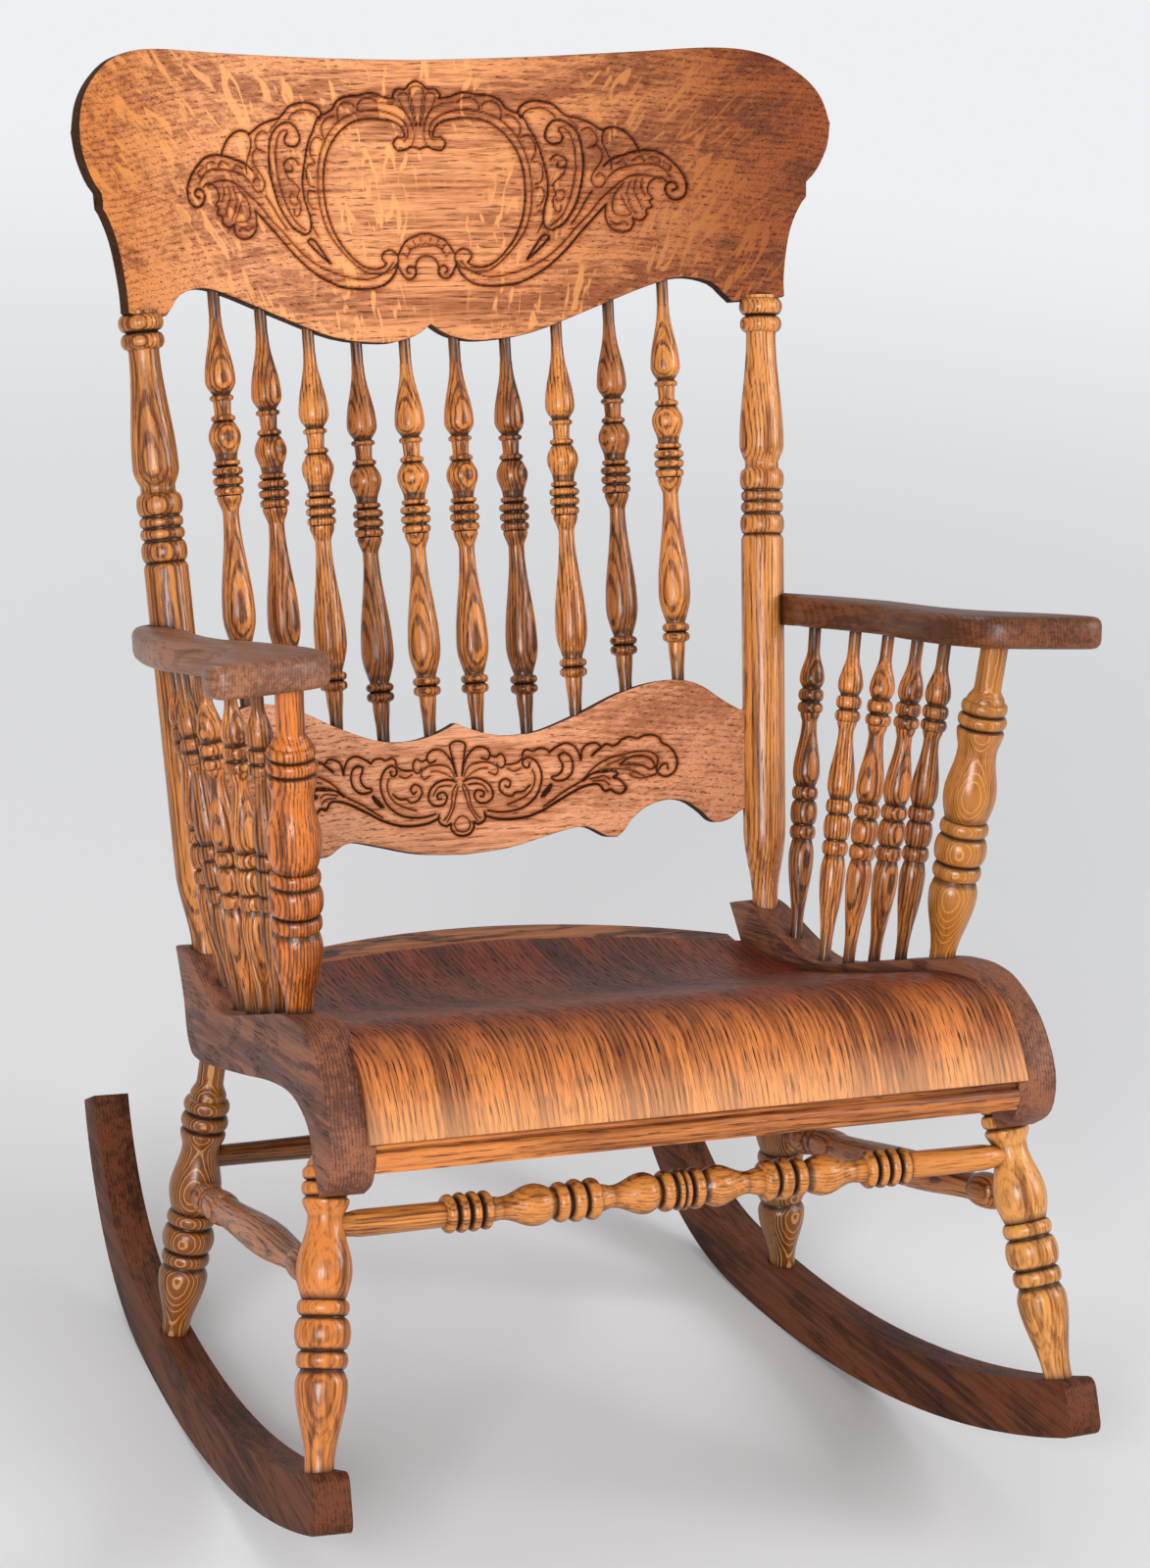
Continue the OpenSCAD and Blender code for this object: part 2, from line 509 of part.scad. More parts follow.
// Legs and stretchers
module leg(rows, foot, head) {
    turned(rows, foot, head, 0, leg_in);
    on_line(foot, head) translate([0, 0, -leg_pin_in]) cylinder(h = leg_pin_in + 1, d = leg_pin_d);
}
module front_leg(s) {
    color(dark_oak) hand(s) difference() {
        leg(front_leg_rows, front_foot, front_head);
        stretcher_socket(front_stretcher_at, -front_stretcher_at.x);
        leg_side_socket(side_front_at, side_rear_at);
    }
}
module rear_leg(s) {
    color(dark_oak) hand(s) difference() {
        leg(rear_leg_rows, rear_foot, rear_head);
        stretcher_socket(rear_stretcher_at, -rear_stretcher_at.x);
        leg_side_socket(side_rear_at, side_front_at);
    }
}
module stretcher_socket(at, x) {
    translate([at.x + stretcher_trim * sign(x) - 2 * fit * sign(x), at.y, at.z]) rotate([0, 90 * sign(x), 0])
        cylinder(h = leg_d, d = stretcher_end_d + 2 * fit);
}
module leg_side_socket(from, to) {
    on_line(from, to) translate([0, 0, stretcher_trim - 2 * fit]) cylinder(h = leg_d, d = stretcher_end_d + 2 * fit);
}
module cross_stretcher(rows, at) {
    color(oak) turned(rows, [-at.x, at.y, at.z], at, -stretcher_trim, -stretcher_trim);
}
module side_stretcher(s) {
    color(oak) hand(s) turned(side_stretcher_rows, side_rear_at, side_front_at, -stretcher_trim, -stretcher_trim);
}

// Seat
module panel_sheet(grow) {
    translate([0, 0, seat_z]) intersection() {
        across(concat(shifted(panel_top, -grow), reversed(shifted(panel_top, panel_t + grow))), seat_w + 200);
        translate([0, 0, big + strip_top.y - grow]) cube(2 * big, center = true);
    }
}
// Plan of the space between the side rails, reaching into them by d
module between_rails(d) {
    inner = -rail_t / 2 + d;
    front = side(inner, -400, 0);
    back = side(inner, 400, 0);
    linear_extrude(2 * big, center = true)
        polygon([[front.x, front.y], [back.x, back.y], [-back.x, back.y], [-front.x, front.y]]);
}
module at_rear_edge() {
    translate([0, rear_edge.x, seat_z + rear_edge.y]) rotate([rear_slope, 0, 0]) children();
}
module seat_panel() {
    color(red_oak) intersection() {
        panel_sheet(0);
        between_rails(groove_in - fit);
        at_rear_edge() translate([0, rear_front_y - rear_front_r - fit, 0])
            cylinder(r = rear_front_r, h = big, center = true, $fn = 360);
    }
}
module rear_rail_band(inset, z, h) {
    at_rear_edge() translate([0, 0, z]) linear_extrude(h) difference() {
        translate([0, rear_back_y - rear_back_r]) circle(r = rear_back_r - inset, $fn = 360);
        translate([0, rear_front_y - rear_front_r]) circle(r = rear_front_r + inset, $fn = 360);
        translate([0, -big - 60]) square(2 * big, center = true);
    }
}
module rear_rail_tenon(grow) {
    x = side(-rail_t / 2, rear_edge.x, 0).x;
    at_rear_edge() translate([-x - 12 - grow, -12.5 - grow, -28 - grow])
        cube([2 * (x + 12 + grow), 8 + 2 * grow, 16 + 2 * grow]);
}
module seat_rear_rail() {
    step = 6;
    color(dark_oak) union() {
        intersection() {
            union() {
                rear_rail_band(3, -step - 1, step + 1);
                rear_rail_band(0, -rear_rail_h, rear_rail_h - step);
                at_rear_edge() translate([0, 0, -rear_rail_h]) linear_extrude(rear_rail_h - panel_t - fit)
                    difference() {
                        translate([0, rear_front_y - rear_front_r]) circle(r = rear_front_r + 2, $fn = 360);
                        translate([0, rear_front_y - rear_front_r - ledge_w]) circle(r = rear_front_r, $fn = 360);
                        translate([0, -big - 60]) square(2 * big, center = true);
                    }
            }
            between_rails(-fit);
        }
        intersection() {
            rear_rail_tenon(0);
            between_rails(12);
        }
    }
}
strip_section = concat([[strip_t, 0], [0, 0]],
    [for (a = [0:15:180]) [-4 * sin(a), 4 + (strip_h - 9) * (1 - cos(a)) / 2]],
    [[2, strip_h - 5], [2, strip_h - 3.5], [0, strip_h - 3.5], [0, strip_h - fit], [strip_t, strip_h - fit]]);
module strip_tenon(grow) {
    x = side(-rail_t / 2, strip_top.x, 0).x;
    translate([0, strip_top.x, seat_z + strip_top.y - strip_h]) translate([-x - 12 - grow, 5 - grow, 5 - grow])
        cube([2 * (x + 12 + grow), strip_t - 9 + 2 * grow, strip_h - 10 + 2 * grow]);
}
module seat_front_rail() {
    color(dark_oak) union() {
        intersection() {
            translate([0, strip_top.x, seat_z + strip_top.y - strip_h]) across(strip_section, seat_w + 200);
            between_rails(-fit);
        }
        intersection() {
            strip_tenon(0);
            between_rails(12);
        }
    }
}
module seat_side(s) {
    color(dark_oak) hand(s) difference() {
        in_side() translate([0, 0, seat_z]) across(rail_outline, rail_t);
        intersection() {
            panel_sheet(fit);
            between_rails(groove_in);
            translate([0, -big + rear_edge.x + 14, 0]) cube(2 * big, center = true);
        }
        intersection() {
            rear_rail_tenon(fit);
            between_rails(12 + fit);
        }
        intersection() {
            strip_tenon(fit);
            between_rails(12 + fit);
        }
        socket(front_head, front_head - 50 * unit(front_head - front_foot), leg_head_d, leg_in, 40);
        socket(rear_head, rear_head - 50 * unit(rear_head - rear_foot), leg_head_d, leg_in, 30);
        socket(post_foot, post_head, post_foot_d, post_in);
        socket(arm_post_foot, arm_post_head, arm_post_end_d, post_in);
        for (i = [0:4]) socket(arm_spindle_foot(i), arm_spindle_head(i), arm_spindle_end_d, spindle_in);
    }
}

// Arms
// The inner edge beside the back post stays square
function round_share(q) = q.x == arm_flat && q.y > 0.9 * arm_span ? 0 : 1;
function slab_ring(p, d, z) = [for (q = [for (i = [0:len(p) - 1])
    let (t = unit(p[(i + 1) % len(p)] - p[(i + len(p) - 1) % len(p)]))
    p[i] + d * round_share(p[i]) * [t.y, -t.x]]) [q.x, q.y, z]];
// A flat piece with rounded edges: rings of points from the underside to the top, cut off flat
module rounded_slab(p, t, r) {
    steps = 3;
    levels = concat([[-r, -1]], [for (k = [0:steps]) let (a = 90 * k / steps) [-r * (1 - sin(a)), r * (1 - cos(a))]],
        [for (k = [0:steps]) let (a = 90 * k / steps) [-r * (1 - cos(a)), t - r * (1 - sin(a))]],
        [[-r, t + 1]]);
    n = len(p);
    points = [for (l = levels) each slab_ring(p, l.x, l.y)];
    walls = [for (j = [0:len(levels) - 2]) for (i = [0:n - 1])
        each [[j * n + i, (j + 1) * n + i, j * n + (i + 1) % n],
        [j * n + (i + 1) % n, (j + 1) * n + i, (j + 1) * n + (i + 1) % n]]];
    intersection() {
        polyhedron(points, concat([[for (i = [0:n - 1]) i]], walls,
            [[for (i = [n - 1:-1:0]) (len(levels) - 1) * n + i]]), convexity = 6);
        translate([-big, -big, 0]) cube([2 * big, 2 * big, t]);
    }
}
module screw_line() {
    translate([0, arm_span, arm_t / 2]) rotate([0, 90, 0]) children();
}
screw_tip = -8;
plug_in = 31;
plug_l = 9;
module arm(s) {
    color(dark_oak) hand(s) difference() {
        in_arm() rounded_slab(arm_plan, arm_t, arm_edge_r);
        on_line(post_foot, post_head) cylinder(h = post_len, d = post_mid_d + 4 * fit);
        socket(arm_post_head, arm_post_foot, arm_post_end_d, arm_post_in);
        for (i = [0:4]) socket(arm_spindle_head(i), arm_spindle_foot(i), arm_spindle_end_d, spindle_in);
        in_arm() screw_line() cylinder(h = big, d = screw_d + 2 * fit);
        in_arm() screw_line() translate([0, 0, plug_in - 4]) cylinder(h = big, d = plug_d + 2 * fit);
    }
}
module arm_post(s) {
    color(dark_oak) hand(s) turned(arm_post_rows, arm_post_foot, arm_post_head, post_in, arm_post_in);
}
module arm_spindle(s, i) {
    color(oak) hand(s) turned(arm_spindle_rows, arm_spindle_foot(i), arm_spindle_head(i), spindle_in, spindle_in);
}
module arm_screws() {
    color(steel) for (s = [-1, 1]) hand(s) in_arm() screw_line() {
        translate([0, 0, screw_tip]) cylinder(h = plug_in - screw_tip - 3, d = screw_d);
        translate([0, 0, plug_in - 4 + fit]) cylinder(h = 3, d = plug_d - 3);
    }
}
module arm_screw_plugs() {
    color(oak) for (s = [-1, 1]) hand(s) in_arm() screw_line() translate([0, 0, plug_in]) cylinder(h = plug_l, d = plug_d);
}

// Back
module bent_board(outline, grow) {
    intersection() {
        translate([0, 100, 0]) rotate([90, 0, 0]) linear_extrude(260) polygon(outline);
        translate([0, bend_centre, -50]) difference() {
            cylinder(r = bend_r + bent_t + grow, h = big, $fn = 360);
            translate([0, 0, -1]) cylinder(r = bend_r - grow, h = big + 2, $fn = 360);
        }
    }
}
module crest_rail() {
    color(oak) difference() {
        in_back() bent_board(crest_outline, 0);
        for (i = [1:10]) socket(spindle_head(i), spindle_foot(i), spindle_end_d, spindle_in);
        for (s = [-1, 1]) hand(s) socket(post_head, post_foot, post_pin_d, post_pin_in + 1);
    }
}
module back_slat() {
    color(oak) difference() {
        in_back() bent_board(slat_outline, 0);
        for (i = [1:10]) socket(spindle_foot(i), spindle_head(i), spindle_end_d, spindle_in);
    }
}
module back_spindle(i) {
    color(oak) turned(spindle_rows, spindle_foot(i), spindle_head(i), spindle_in, spindle_in);
}
// How far the tool that cuts a mortise reaches towards the middle of the chair
mortise_reach = 60;
module slat_mortise() {
    in_back() bent_board([[slat_end_x - mortise_reach, slat_z - fit], [slat_end_x + fit, slat_z - fit],
        [slat_end_x + fit, slat_z + slat_end_h + fit], [slat_end_x - mortise_reach, slat_z + slat_end_h + fit]], fit);
}
module back_post(s) {
    color(dark_oak) hand(s) {
        difference() {
            turned(post_rows, post_foot, post_head, post_in, 10);
            in_back() translate([0, -big, post_len - fit]) cube(2 * big);
            slat_mortise();
            in_arm() screw_line() translate([0, 0, screw_tip - fit]) cylinder(h = big, d = screw_d + 2 * fit);
        }
        on_line(post_head, 2 * post_head - post_foot) translate([0, 0, -10]) cylinder(h = 10 + post_pin_in, d = post_pin_d);
    }
}

rest() crest_rail();
rest() back_slat();
rest() back_post(-1);  // back_post_left
rest() back_post(1);  // back_post_right
for (i = [1:10]) rest() back_spindle(i);
rest() arm(-1);  // arm_left
rest() arm(1);  // arm_right
rest() arm_post(-1);  // arm_post_left
rest() arm_post(1);  // arm_post_right
for (i = [1:5]) rest() arm_spindle(-1, i - 1);
for (i = [1:5]) rest() arm_spindle(1, i - 1);
rest() arm_screws();
rest() arm_screw_plugs();
rest() seat_panel();
rest() seat_side(-1);  // seat_side_left
rest() seat_side(1);  // seat_side_right
rest() seat_front_rail();
rest() seat_rear_rail();
rest() front_leg(-1);  // front_leg_left
rest() front_leg(1);  // front_leg_right
rest() rear_leg(-1);  // rear_leg_left
rest() rear_leg(1);  // rear_leg_right
rest() cross_stretcher(front_stretcher_rows, front_stretcher_at);  // front_stretcher
rest() cross_stretcher(rear_stretcher_rows, rear_stretcher_at);  // rear_stretcher
rest() side_stretcher(-1);  // side_stretcher_left
rest() side_stretcher(1);  // side_stretcher_right
rest() rocker(-1);  // rocker_left
rest() rocker(1);  // rocker_right
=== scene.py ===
import math

import bpy
from mathutils import Matrix, Vector
from mathutils.kdtree import KDTree


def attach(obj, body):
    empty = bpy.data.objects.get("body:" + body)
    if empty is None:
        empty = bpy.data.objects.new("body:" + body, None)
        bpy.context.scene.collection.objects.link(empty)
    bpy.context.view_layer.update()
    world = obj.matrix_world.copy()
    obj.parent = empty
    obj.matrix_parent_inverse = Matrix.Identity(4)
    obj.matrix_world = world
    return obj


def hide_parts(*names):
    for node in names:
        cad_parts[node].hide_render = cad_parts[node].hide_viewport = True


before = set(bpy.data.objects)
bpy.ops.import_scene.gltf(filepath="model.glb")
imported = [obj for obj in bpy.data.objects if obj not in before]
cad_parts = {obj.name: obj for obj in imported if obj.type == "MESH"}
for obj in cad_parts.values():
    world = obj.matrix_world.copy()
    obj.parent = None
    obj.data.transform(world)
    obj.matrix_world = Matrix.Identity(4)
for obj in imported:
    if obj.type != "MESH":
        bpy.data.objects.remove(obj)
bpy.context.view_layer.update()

# Crest rail: one wide quarter-sawn oak board, steamed and bent, with a scroll frame pressed into
# its face by a hot die. The die leaves rounded ridges between grooves that the stain stays in.
# Sizes are in millimetres until a piece is put in its place.
BEND_R = 600
BEND_MIDDLE = -550.5
BOARD_T = 15
CREST_FOOT = 524

# The chair leans back on its rockers. Its sawn pieces were laid out upright, so this turns the
# upright chair about the middle of the rockers' arc to the way it stands, in metres. The back leans
# further still, from the line between the feet of the two back posts.
ARC_MIDDLE_UPRIGHT = Vector((0, -0.057418, 1))
ARC_MIDDLE_STANDING = Vector((0, 0.001624, 0.999818))
LEAN = math.radians(-12.654)
POST_FEET = Vector((0, 145.44, 390.83))
BACK_RAKE = math.radians(-8.8)
standing = (Matrix.Translation(ARC_MIDDLE_STANDING) @ Matrix.Rotation(LEAN, 4, "X")
            @ Matrix.Translation(-ARC_MIDDLE_UPRIGHT) @ Matrix.Scale(0.001, 4))
back = standing @ Matrix.Translation(POST_FEET) @ Matrix.Rotation(BACK_RAKE, 4, "X")


def smooth_run(points, steps):
    """A soft line through given points, as a draughtsman's spline makes."""
    line = []
    for i in range(len(points) - 1):
        a, b, c, d = points[max(i - 1, 0)], points[i], points[i + 1], points[min(i + 2, len(points) - 1)]
        for k in range(steps):
            t = k / steps
            line.append([0.5 * (2 * q + (r - p) * t + (2 * p - 5 * q + 4 * r - s) * t * t
                                + (3 * q - p - 3 * r + s) * t ** 3) for p, q, r, s in zip(a, b, c, d)])
    return line + [list(points[-1])]


def evenly(line, count):
    """The same line with count points at even distances."""
    far = [0.0]
    for p, q in zip(line, line[1:]):
        far.append(far[-1] + math.dist(p, q))
    out, j = [], 0
    for i in range(count):
        want = far[-1] * i / (count - 1)
        while j < len(far) - 2 and far[j + 1] < want:
            j += 1
        t = (want - far[j]) / max(far[j + 1] - far[j], 1e-9)
        out.append([p + (q - p) * t for p, q in zip(line[j], line[j + 1])])
    return out


def tone(code):
    """A colour as painters write it, made linear."""
    part = [int(code[i:i + 2], 16) / 255 for i in (0, 2, 4)]
    return [c / 12.92 if c <= 0.04045 else ((c + 0.055) / 1.055) ** 2.4 for c in part] + [1.0]


def add(tree, kind, inputs=None, **settings):
    """Adds a node, with its settings, its plain values and its wires."""
    made = tree.nodes.new("ShaderNode" + kind)
    for key, value in settings.items():
        setattr(made, key, value)
    for key, value in (inputs or {}).items():
        if isinstance(value, bpy.types.NodeSocket):
            tree.links.new(value, made.inputs[key])
        else:
            made.inputs[key].default_value = value
    return made


def shade(tree, share, a, b, mode="MIX"):
    """Mixes two colours."""
    made = add(tree, "Mix", {0: share, 6: a, 7: b}, data_type="RGBA", blend_type=mode)
    return made.outputs[2]


def ramp(tree, value, low, high, to_low=0.0, to_high=1.0):
    """Carries a value softly over from one range to another."""
    made = add(tree, "MapRange", {"Value": value, "From Min": low, "From Max": high,
                                  "To Min": to_low, "To Max": to_high}, interpolation_type="SMOOTHSTEP")
    return made.outputs["Result"]


def worked(tree, operation, *values):
    """One step of arithmetic with values or sockets."""
    return add(tree, "Math", dict(enumerate(values)), operation=operation).outputs[0]


def attribute(tree, name, kind="Fac"):
    """What was written on the mesh under this name."""
    return add(tree, "Attribute", attribute_name=name).outputs[kind]


# The oak itself, for every wooden piece. The grain runs along Z of Place and the growth rings lie in
# layers across X, so a turned bulge shows them as ovals. Pores sit in the early wood, broad pale ray
# flecks cross a quarter-sawn face, and old stain and dirt with painted shade darken every corner.
oak = bpy.data.node_groups.new("oak figure", "ShaderNodeTree")
for word in ("Place", "Light", "Dark", "Pores", "Rays", "Dirt_and_shade", "Rings", "Close"):
    kind = {"Place": "NodeSocketVector", "Light": "NodeSocketColor", "Dark": "NodeSocketColor"}
    oak.interface.new_socket(word, in_out="INPUT", socket_type=kind.get(word, "NodeSocketFloat"))
for word in ("Colour", "Relief", "Matt", "Layer"):
    kind = "NodeSocketColor" if word == "Colour" else "NodeSocketFloat"
    oak.interface.new_socket(word, in_out="OUTPUT", socket_type=kind)
given = oak.nodes.new("NodeGroupInput").outputs


def grain_noise(scale, detail, rough, bend):
    """Noise on stretched coordinates, so that it runs with the grain."""
    stretched = add(oak, "Mapping", {"Vector": given["Place"], "Scale": scale}).outputs[0]
    return add(oak, "TexNoise", {"Vector": stretched, "Scale": 1, "Detail": detail, "Roughness": rough,
                                 "Distortion": bend}).outputs


# The growth rings wander by up to a centimetre.
wander = add(oak, "VectorMath", {0: grain_noise((11, 11, 3.5), 2, 0.5, 0)["Color"], 1: (0.5, 0.5, 0.5)},
             operation="SUBTRACT")
wander = add(oak, "VectorMath", {0: wander.outputs[0], 3: 0.02}, operation="SCALE")
grown = add(oak, "VectorMath", {0: given["Place"], 1: wander.outputs[0]}, operation="ADD")
layers = add(oak, "TexWave", {"Vector": grown.outputs[0], "Scale": given["Close"], "Distortion": 2,
                              "Detail": 2, "Detail Scale": 0.5},
             wave_type="BANDS", bands_direction="X", wave_profile="SIN").outputs["Fac"]
early = ramp(oak, layers, 0.45, 0.95)

# Light and dark wood in clouds and streaks, with the pores in the early wood.
cloud = grain_noise((26, 26, 2.4), 3, 0.55, 0.4)["Fac"]
streak = grain_noise((230, 230, 9), 4, 0.65, 0.25)["Fac"]
fine = grain_noise((900, 900, 44), 3, 0.55, 0)["Fac"]
ringed = worked(oak, "MULTIPLY", early, given["Rings"])
darkness = worked(oak, "MULTIPLY_ADD", ringed, 0.2, worked(oak, "ADD", cloud, streak))
body = shade(oak, ramp(oak, darkness, 0.85, 1.24), given["Light"], given["Dark"])
pores = worked(oak, "MULTIPLY", ramp(oak, fine, 0.51, 0.61), worked(oak, "MULTIPLY_ADD", early, 0.6, 0.3))
pores = worked(oak, "MULTIPLY", pores, given["Pores"])
body = shade(oak, pores, body, tone("2a1306"))

# The ray flecks lie across the grain, in patches, and fan out a little from the middle of the board.
spot = add(oak, "SeparateXYZ", {0: given["Place"]}).outputs
fan = worked(oak, "MULTIPLY", worked(oak, "MULTIPLY_ADD", spot["X"], 2.4, 1), spot["Z"])
fanned = add(oak, "CombineXYZ", {0: spot["X"], 1: spot["Y"], 2: fan}).outputs[0]
crossing = add(oak, "Mapping", {"Vector": fanned, "Scale": (24, 24, 78), "Rotation": (0, 0.1, 0)}).outputs[0]
ray = add(oak, "TexNoise", {"Vector": crossing, "Scale": 1, "Detail": 1.5, "Roughness": 0.45,
                            "Distortion": 1.9}).outputs[0]
patch = grain_noise((7, 7, 9), 1, 0.5, 0)["Fac"]
fleck = worked(oak, "MULTIPLY", ramp(oak, ray, 0.56, 0.64), ramp(oak, patch, 0.36, 0.52))
fleck = worked(oak, "MULTIPLY", fleck, given["Rays"])
body = shade(oak, fleck, body, shade(oak, 0.6, given["Light"], tone("f4ac66")))

# Painted shade, with old stain and dirt, in the corners: the more closed in a spot is, the darker it is
# painted.
corner = add(oak, "AmbientOcclusion", {"Distance": 0.008}, samples=6, only_local=False).outputs["AO"]
corner_dirt_and_shade = worked(oak, "MULTIPLY", ramp(oak, corner, 0.3, 0.92, 1, 0), given["Dirt_and_shade"])
body = shade(oak, corner_dirt_and_shade, body, tone("190b04"))
told = oak.nodes.new("NodeGroupOutput").inputs
for word, made in (("Colour", body), ("Relief", worked(oak, "MULTIPLY_ADD", pores, -0.7, streak)),
                   ("Matt", worked(oak, "ADD", pores, corner_dirt_and_shade)), ("Layer", layers)):
    oak.links.new(made, told[word])

# The grain runs along Z of the oak, so this lays it across the chair.
ACROSS = (0, math.radians(90), 0)


def oak_finish(name, light, dark, at=(0, 0, 0), turn=(0, 0, 0), pores=0.7, rays=0.0, dirt_and_shade=0.9, rings=0.3,
               close=62, gloss=0.34, coat=0.05, mirror=0.35, lay=None):
    """Varnished oak with its grain along Z of the turned place, or of the attribute lay."""
    made = bpy.data.materials.new(name)
    made.use_nodes = True
    tree = made.node_tree
    tree.nodes.clear()
    spot = attribute(tree, lay, "Vector") if lay else add(tree, "TexCoord").outputs["Object"]
    placed = add(tree, "Mapping", {"Vector": spot, "Location": at, "Rotation": turn}, vector_type="TEXTURE")
    figure = add(tree, "Group", node_tree=oak)
    tree.links.new(placed.outputs[0], figure.inputs["Place"])
    for word, value in (("Light", tone(light)), ("Dark", tone(dark)), ("Pores", pores), ("Rays", rays),
                        ("Dirt_and_shade", dirt_and_shade), ("Rings", rings), ("Close", close)):
        figure.inputs[word].default_value = value
    rough = ramp(tree, figure.outputs["Matt"], 0, 1, gloss, min(gloss + 0.3, 1))
    bump = add(tree, "Bump", {"Height": figure.outputs["Relief"], "Strength": 0.3, "Distance": 0.0008})
    skin = add(tree, "BsdfPrincipled", {
        "Base Color": figure.outputs["Colour"], "Roughness": rough, "Normal": bump.outputs[0],
        "Coat Weight": coat, "Coat Roughness": 0.2, "Specular IOR Level": mirror})
    tree.links.new(skin.outputs[0], add(tree, "OutputMaterial").inputs["Surface"])
    return made


def varnish_of(finish, word):
    """One input of the finish's shader."""
    return next(n for n in finish.node_tree.nodes if n.type == "BSDF_PRINCIPLED").inputs[word]


def overlaid(finish, amount, colour, mode="MIX"):
    """Lays one more colour over a finish, as much as amount says."""
    skin, tree = varnish_of(finish, "Base Color"), finish.node_tree
    tree.links.new(shade(tree, amount, skin.links[0].from_socket, tone(colour), mode), skin)


def only(piece):
    """Selects one piece and nothing else."""
    bpy.ops.object.select_all(action="DESELECT")
    bpy.context.view_layer.objects.active = piece
    piece.select_set(True)


def closed_skin():
    """Joins the doubled points of the mesh in edit mode and turns its faces outwards."""
    bpy.ops.mesh.select_all(action="SELECT")
    bpy.ops.mesh.remove_doubles(threshold=1e-5)
    bpy.ops.mesh.normals_make_consistent(inside=False)
    bpy.ops.object.mode_set(mode="OBJECT")


def settle(piece, name, node, finish, angle=40):
    """Smooths a finished mesh, gives it its finish, and puts it in place of its solid."""
    only(piece)
    bpy.ops.object.shade_smooth_by_angle(angle=math.radians(angle))
    piece.name = piece.data.name = name
    piece.data.materials.clear()
    piece.data.materials.append(finish)
    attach(piece, "root")
    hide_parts(node)
    return piece


# Across a pressed groove: the cut itself, as a share of its half width, a shallow dish round it, the
# stain in it and the dark glaze beside it.
CUT_DEPTH = 1.3
CUT_REACH = 1.6
DISH_DEPTH = 0.6
DISH_REACH = 4.2
STAIN_FADE = 0.7
GLAZE_REACH = 4.5
GROOVE_PITCH = 0.5

# The board's edges are eased, dark all round, and its ends widen a little towards the back.
EDGE_EASE = 1.2
EDGE_STAIN = 0.92
STAIN_MOST = 0.95
TIP = 5
FLARE = 0.00045
SHOULDER_HIGH = 60


def pressed(gap, width):
    """Depth, stain and glaze at this distance from the middle of a groove."""
    cut = CUT_DEPTH * width * max(0, 1 - gap / (CUT_REACH * width)) ** 1.3
    dish = DISH_DEPTH * max(0, 1 - gap / DISH_REACH) ** 2
    return cut + dish, min(max(width - gap, 0) / STAIN_FADE, 1), max(0.0, 1 - gap / GLAZE_REACH)


def bent_board(columns, rows, grooves, place):
    """A bent, carved board. Columns run from the lower edge up the face, over the top edge, down the
    back and round under; each is one ring of a tube that is closed along its ends."""
    near = KDTree(sum(len(line) for _, line in grooves))
    widths = []
    for width, line in grooves:
        for p in line:
            near.insert((p[0], p[1], 0), len(widths))
            widths.append(width)
    near.balance()
    # Besides the face's rows, a ring has twelve steps over the edges, down the back and round under.
    ring = len(rows) + 12
    bpy.ops.object.select_all(action="DESELECT")
    bpy.ops.mesh.primitive_grid_add(x_subdivisions=len(columns) - 1, y_subdivisions=ring, size=1)
    piece = bpy.context.object
    mesh = piece.data
    darkened = mesh.attributes.new("darkened", "FLOAT", "POINT")
    glaze = mesh.attributes.new("glaze", "FLOAT", "POINT")
    spots = sorted(mesh.vertices, key=lambda v: (round(v.co.x, 6), round(v.co.y, 6)))
    for i, (a, b) in enumerate(columns):
        span = math.dist(a, b)
        ease = min(EDGE_EASE, span / 3)
        section = [(0.0, ease, "edge")] + [(t, 0.0, "face") for t in rows] + [(1.0, ease, "edge")]
        section += [(1.0, BOARD_T - ease, "edge"), (1.0, BOARD_T, "rim")]
        section += [(1 - k / 6, BOARD_T, "back") for k in range(1, 6)]
        section += [(0.0, BOARD_T, "rim"), (0.0, BOARD_T - ease, "edge"), (0.0, ease, "edge")]
        for k, vertex in enumerate(spots[i * (ring + 1):(i + 1) * (ring + 1)]):
            t, depth, part = section[min(k, len(section) - 1)]
            dark, beside = EDGE_STAIN if part in ("edge", "rim") else 0.0, 0.0
            if part in ("rim", "back") and span > 1e-3:
                t = min(max(t, ease / span), 1 - ease / span)
            x, w = a[0] + (b[0] - a[0]) * t, a[1] + (b[1] - a[1]) * t
            if part == "face":
                edge = min(t, 1 - t) * span
                if edge <= ease:
                    depth = ease - math.sqrt(max(ease ** 2 - (ease - edge) ** 2, 0))
                _, index, gap = near.find((x, w, 0))
                sunk, dark, beside = pressed(gap, widths[index])
                depth += sunk
                if edge < 1e-6:
                    dark = EDGE_STAIN
            x *= 1 + FLARE * depth
            y = BEND_MIDDLE + math.sqrt((BEND_R + depth) ** 2 - x * x)
            vertex.co = place @ Vector((x, y, w))
            darkened.data[vertex.index].value = EDGE_STAIN if span < TIP else min(dark, STAIN_MOST)
            glaze.data[vertex.index].value = beside
    only(piece)
    bpy.ops.object.mode_set(mode="EDIT")
    closed_skin()
    return piece


def mirrored(lines):
    """The lines of the right half with the same lines on the left."""
    return lines + [(w, [[-p[0], p[1]] for p in line]) for w, line in lines]


def drawn(lines, lift):
    """Grooves from given points, close enough together to cut from."""
    made = []
    for w, points in lines:
        line = smooth_run(points, 6)
        far = sum(math.dist(p, q) for p, q in zip(line, line[1:]))
        made.append((w, [[p[0], p[1] + lift] for p in evenly(line, max(int(far / GROOVE_PITCH), 4))]))
    return made


def at_x(line, x):
    """The point of the line at this distance from the middle."""
    for p, q in zip(line, line[1:]):
        if p[0] <= x <= q[0]:
            return [x, p[1] + (q[1] - p[1]) * (x - p[0]) / max(q[0] - p[0], 1e-9)]
    return list(line[-1])


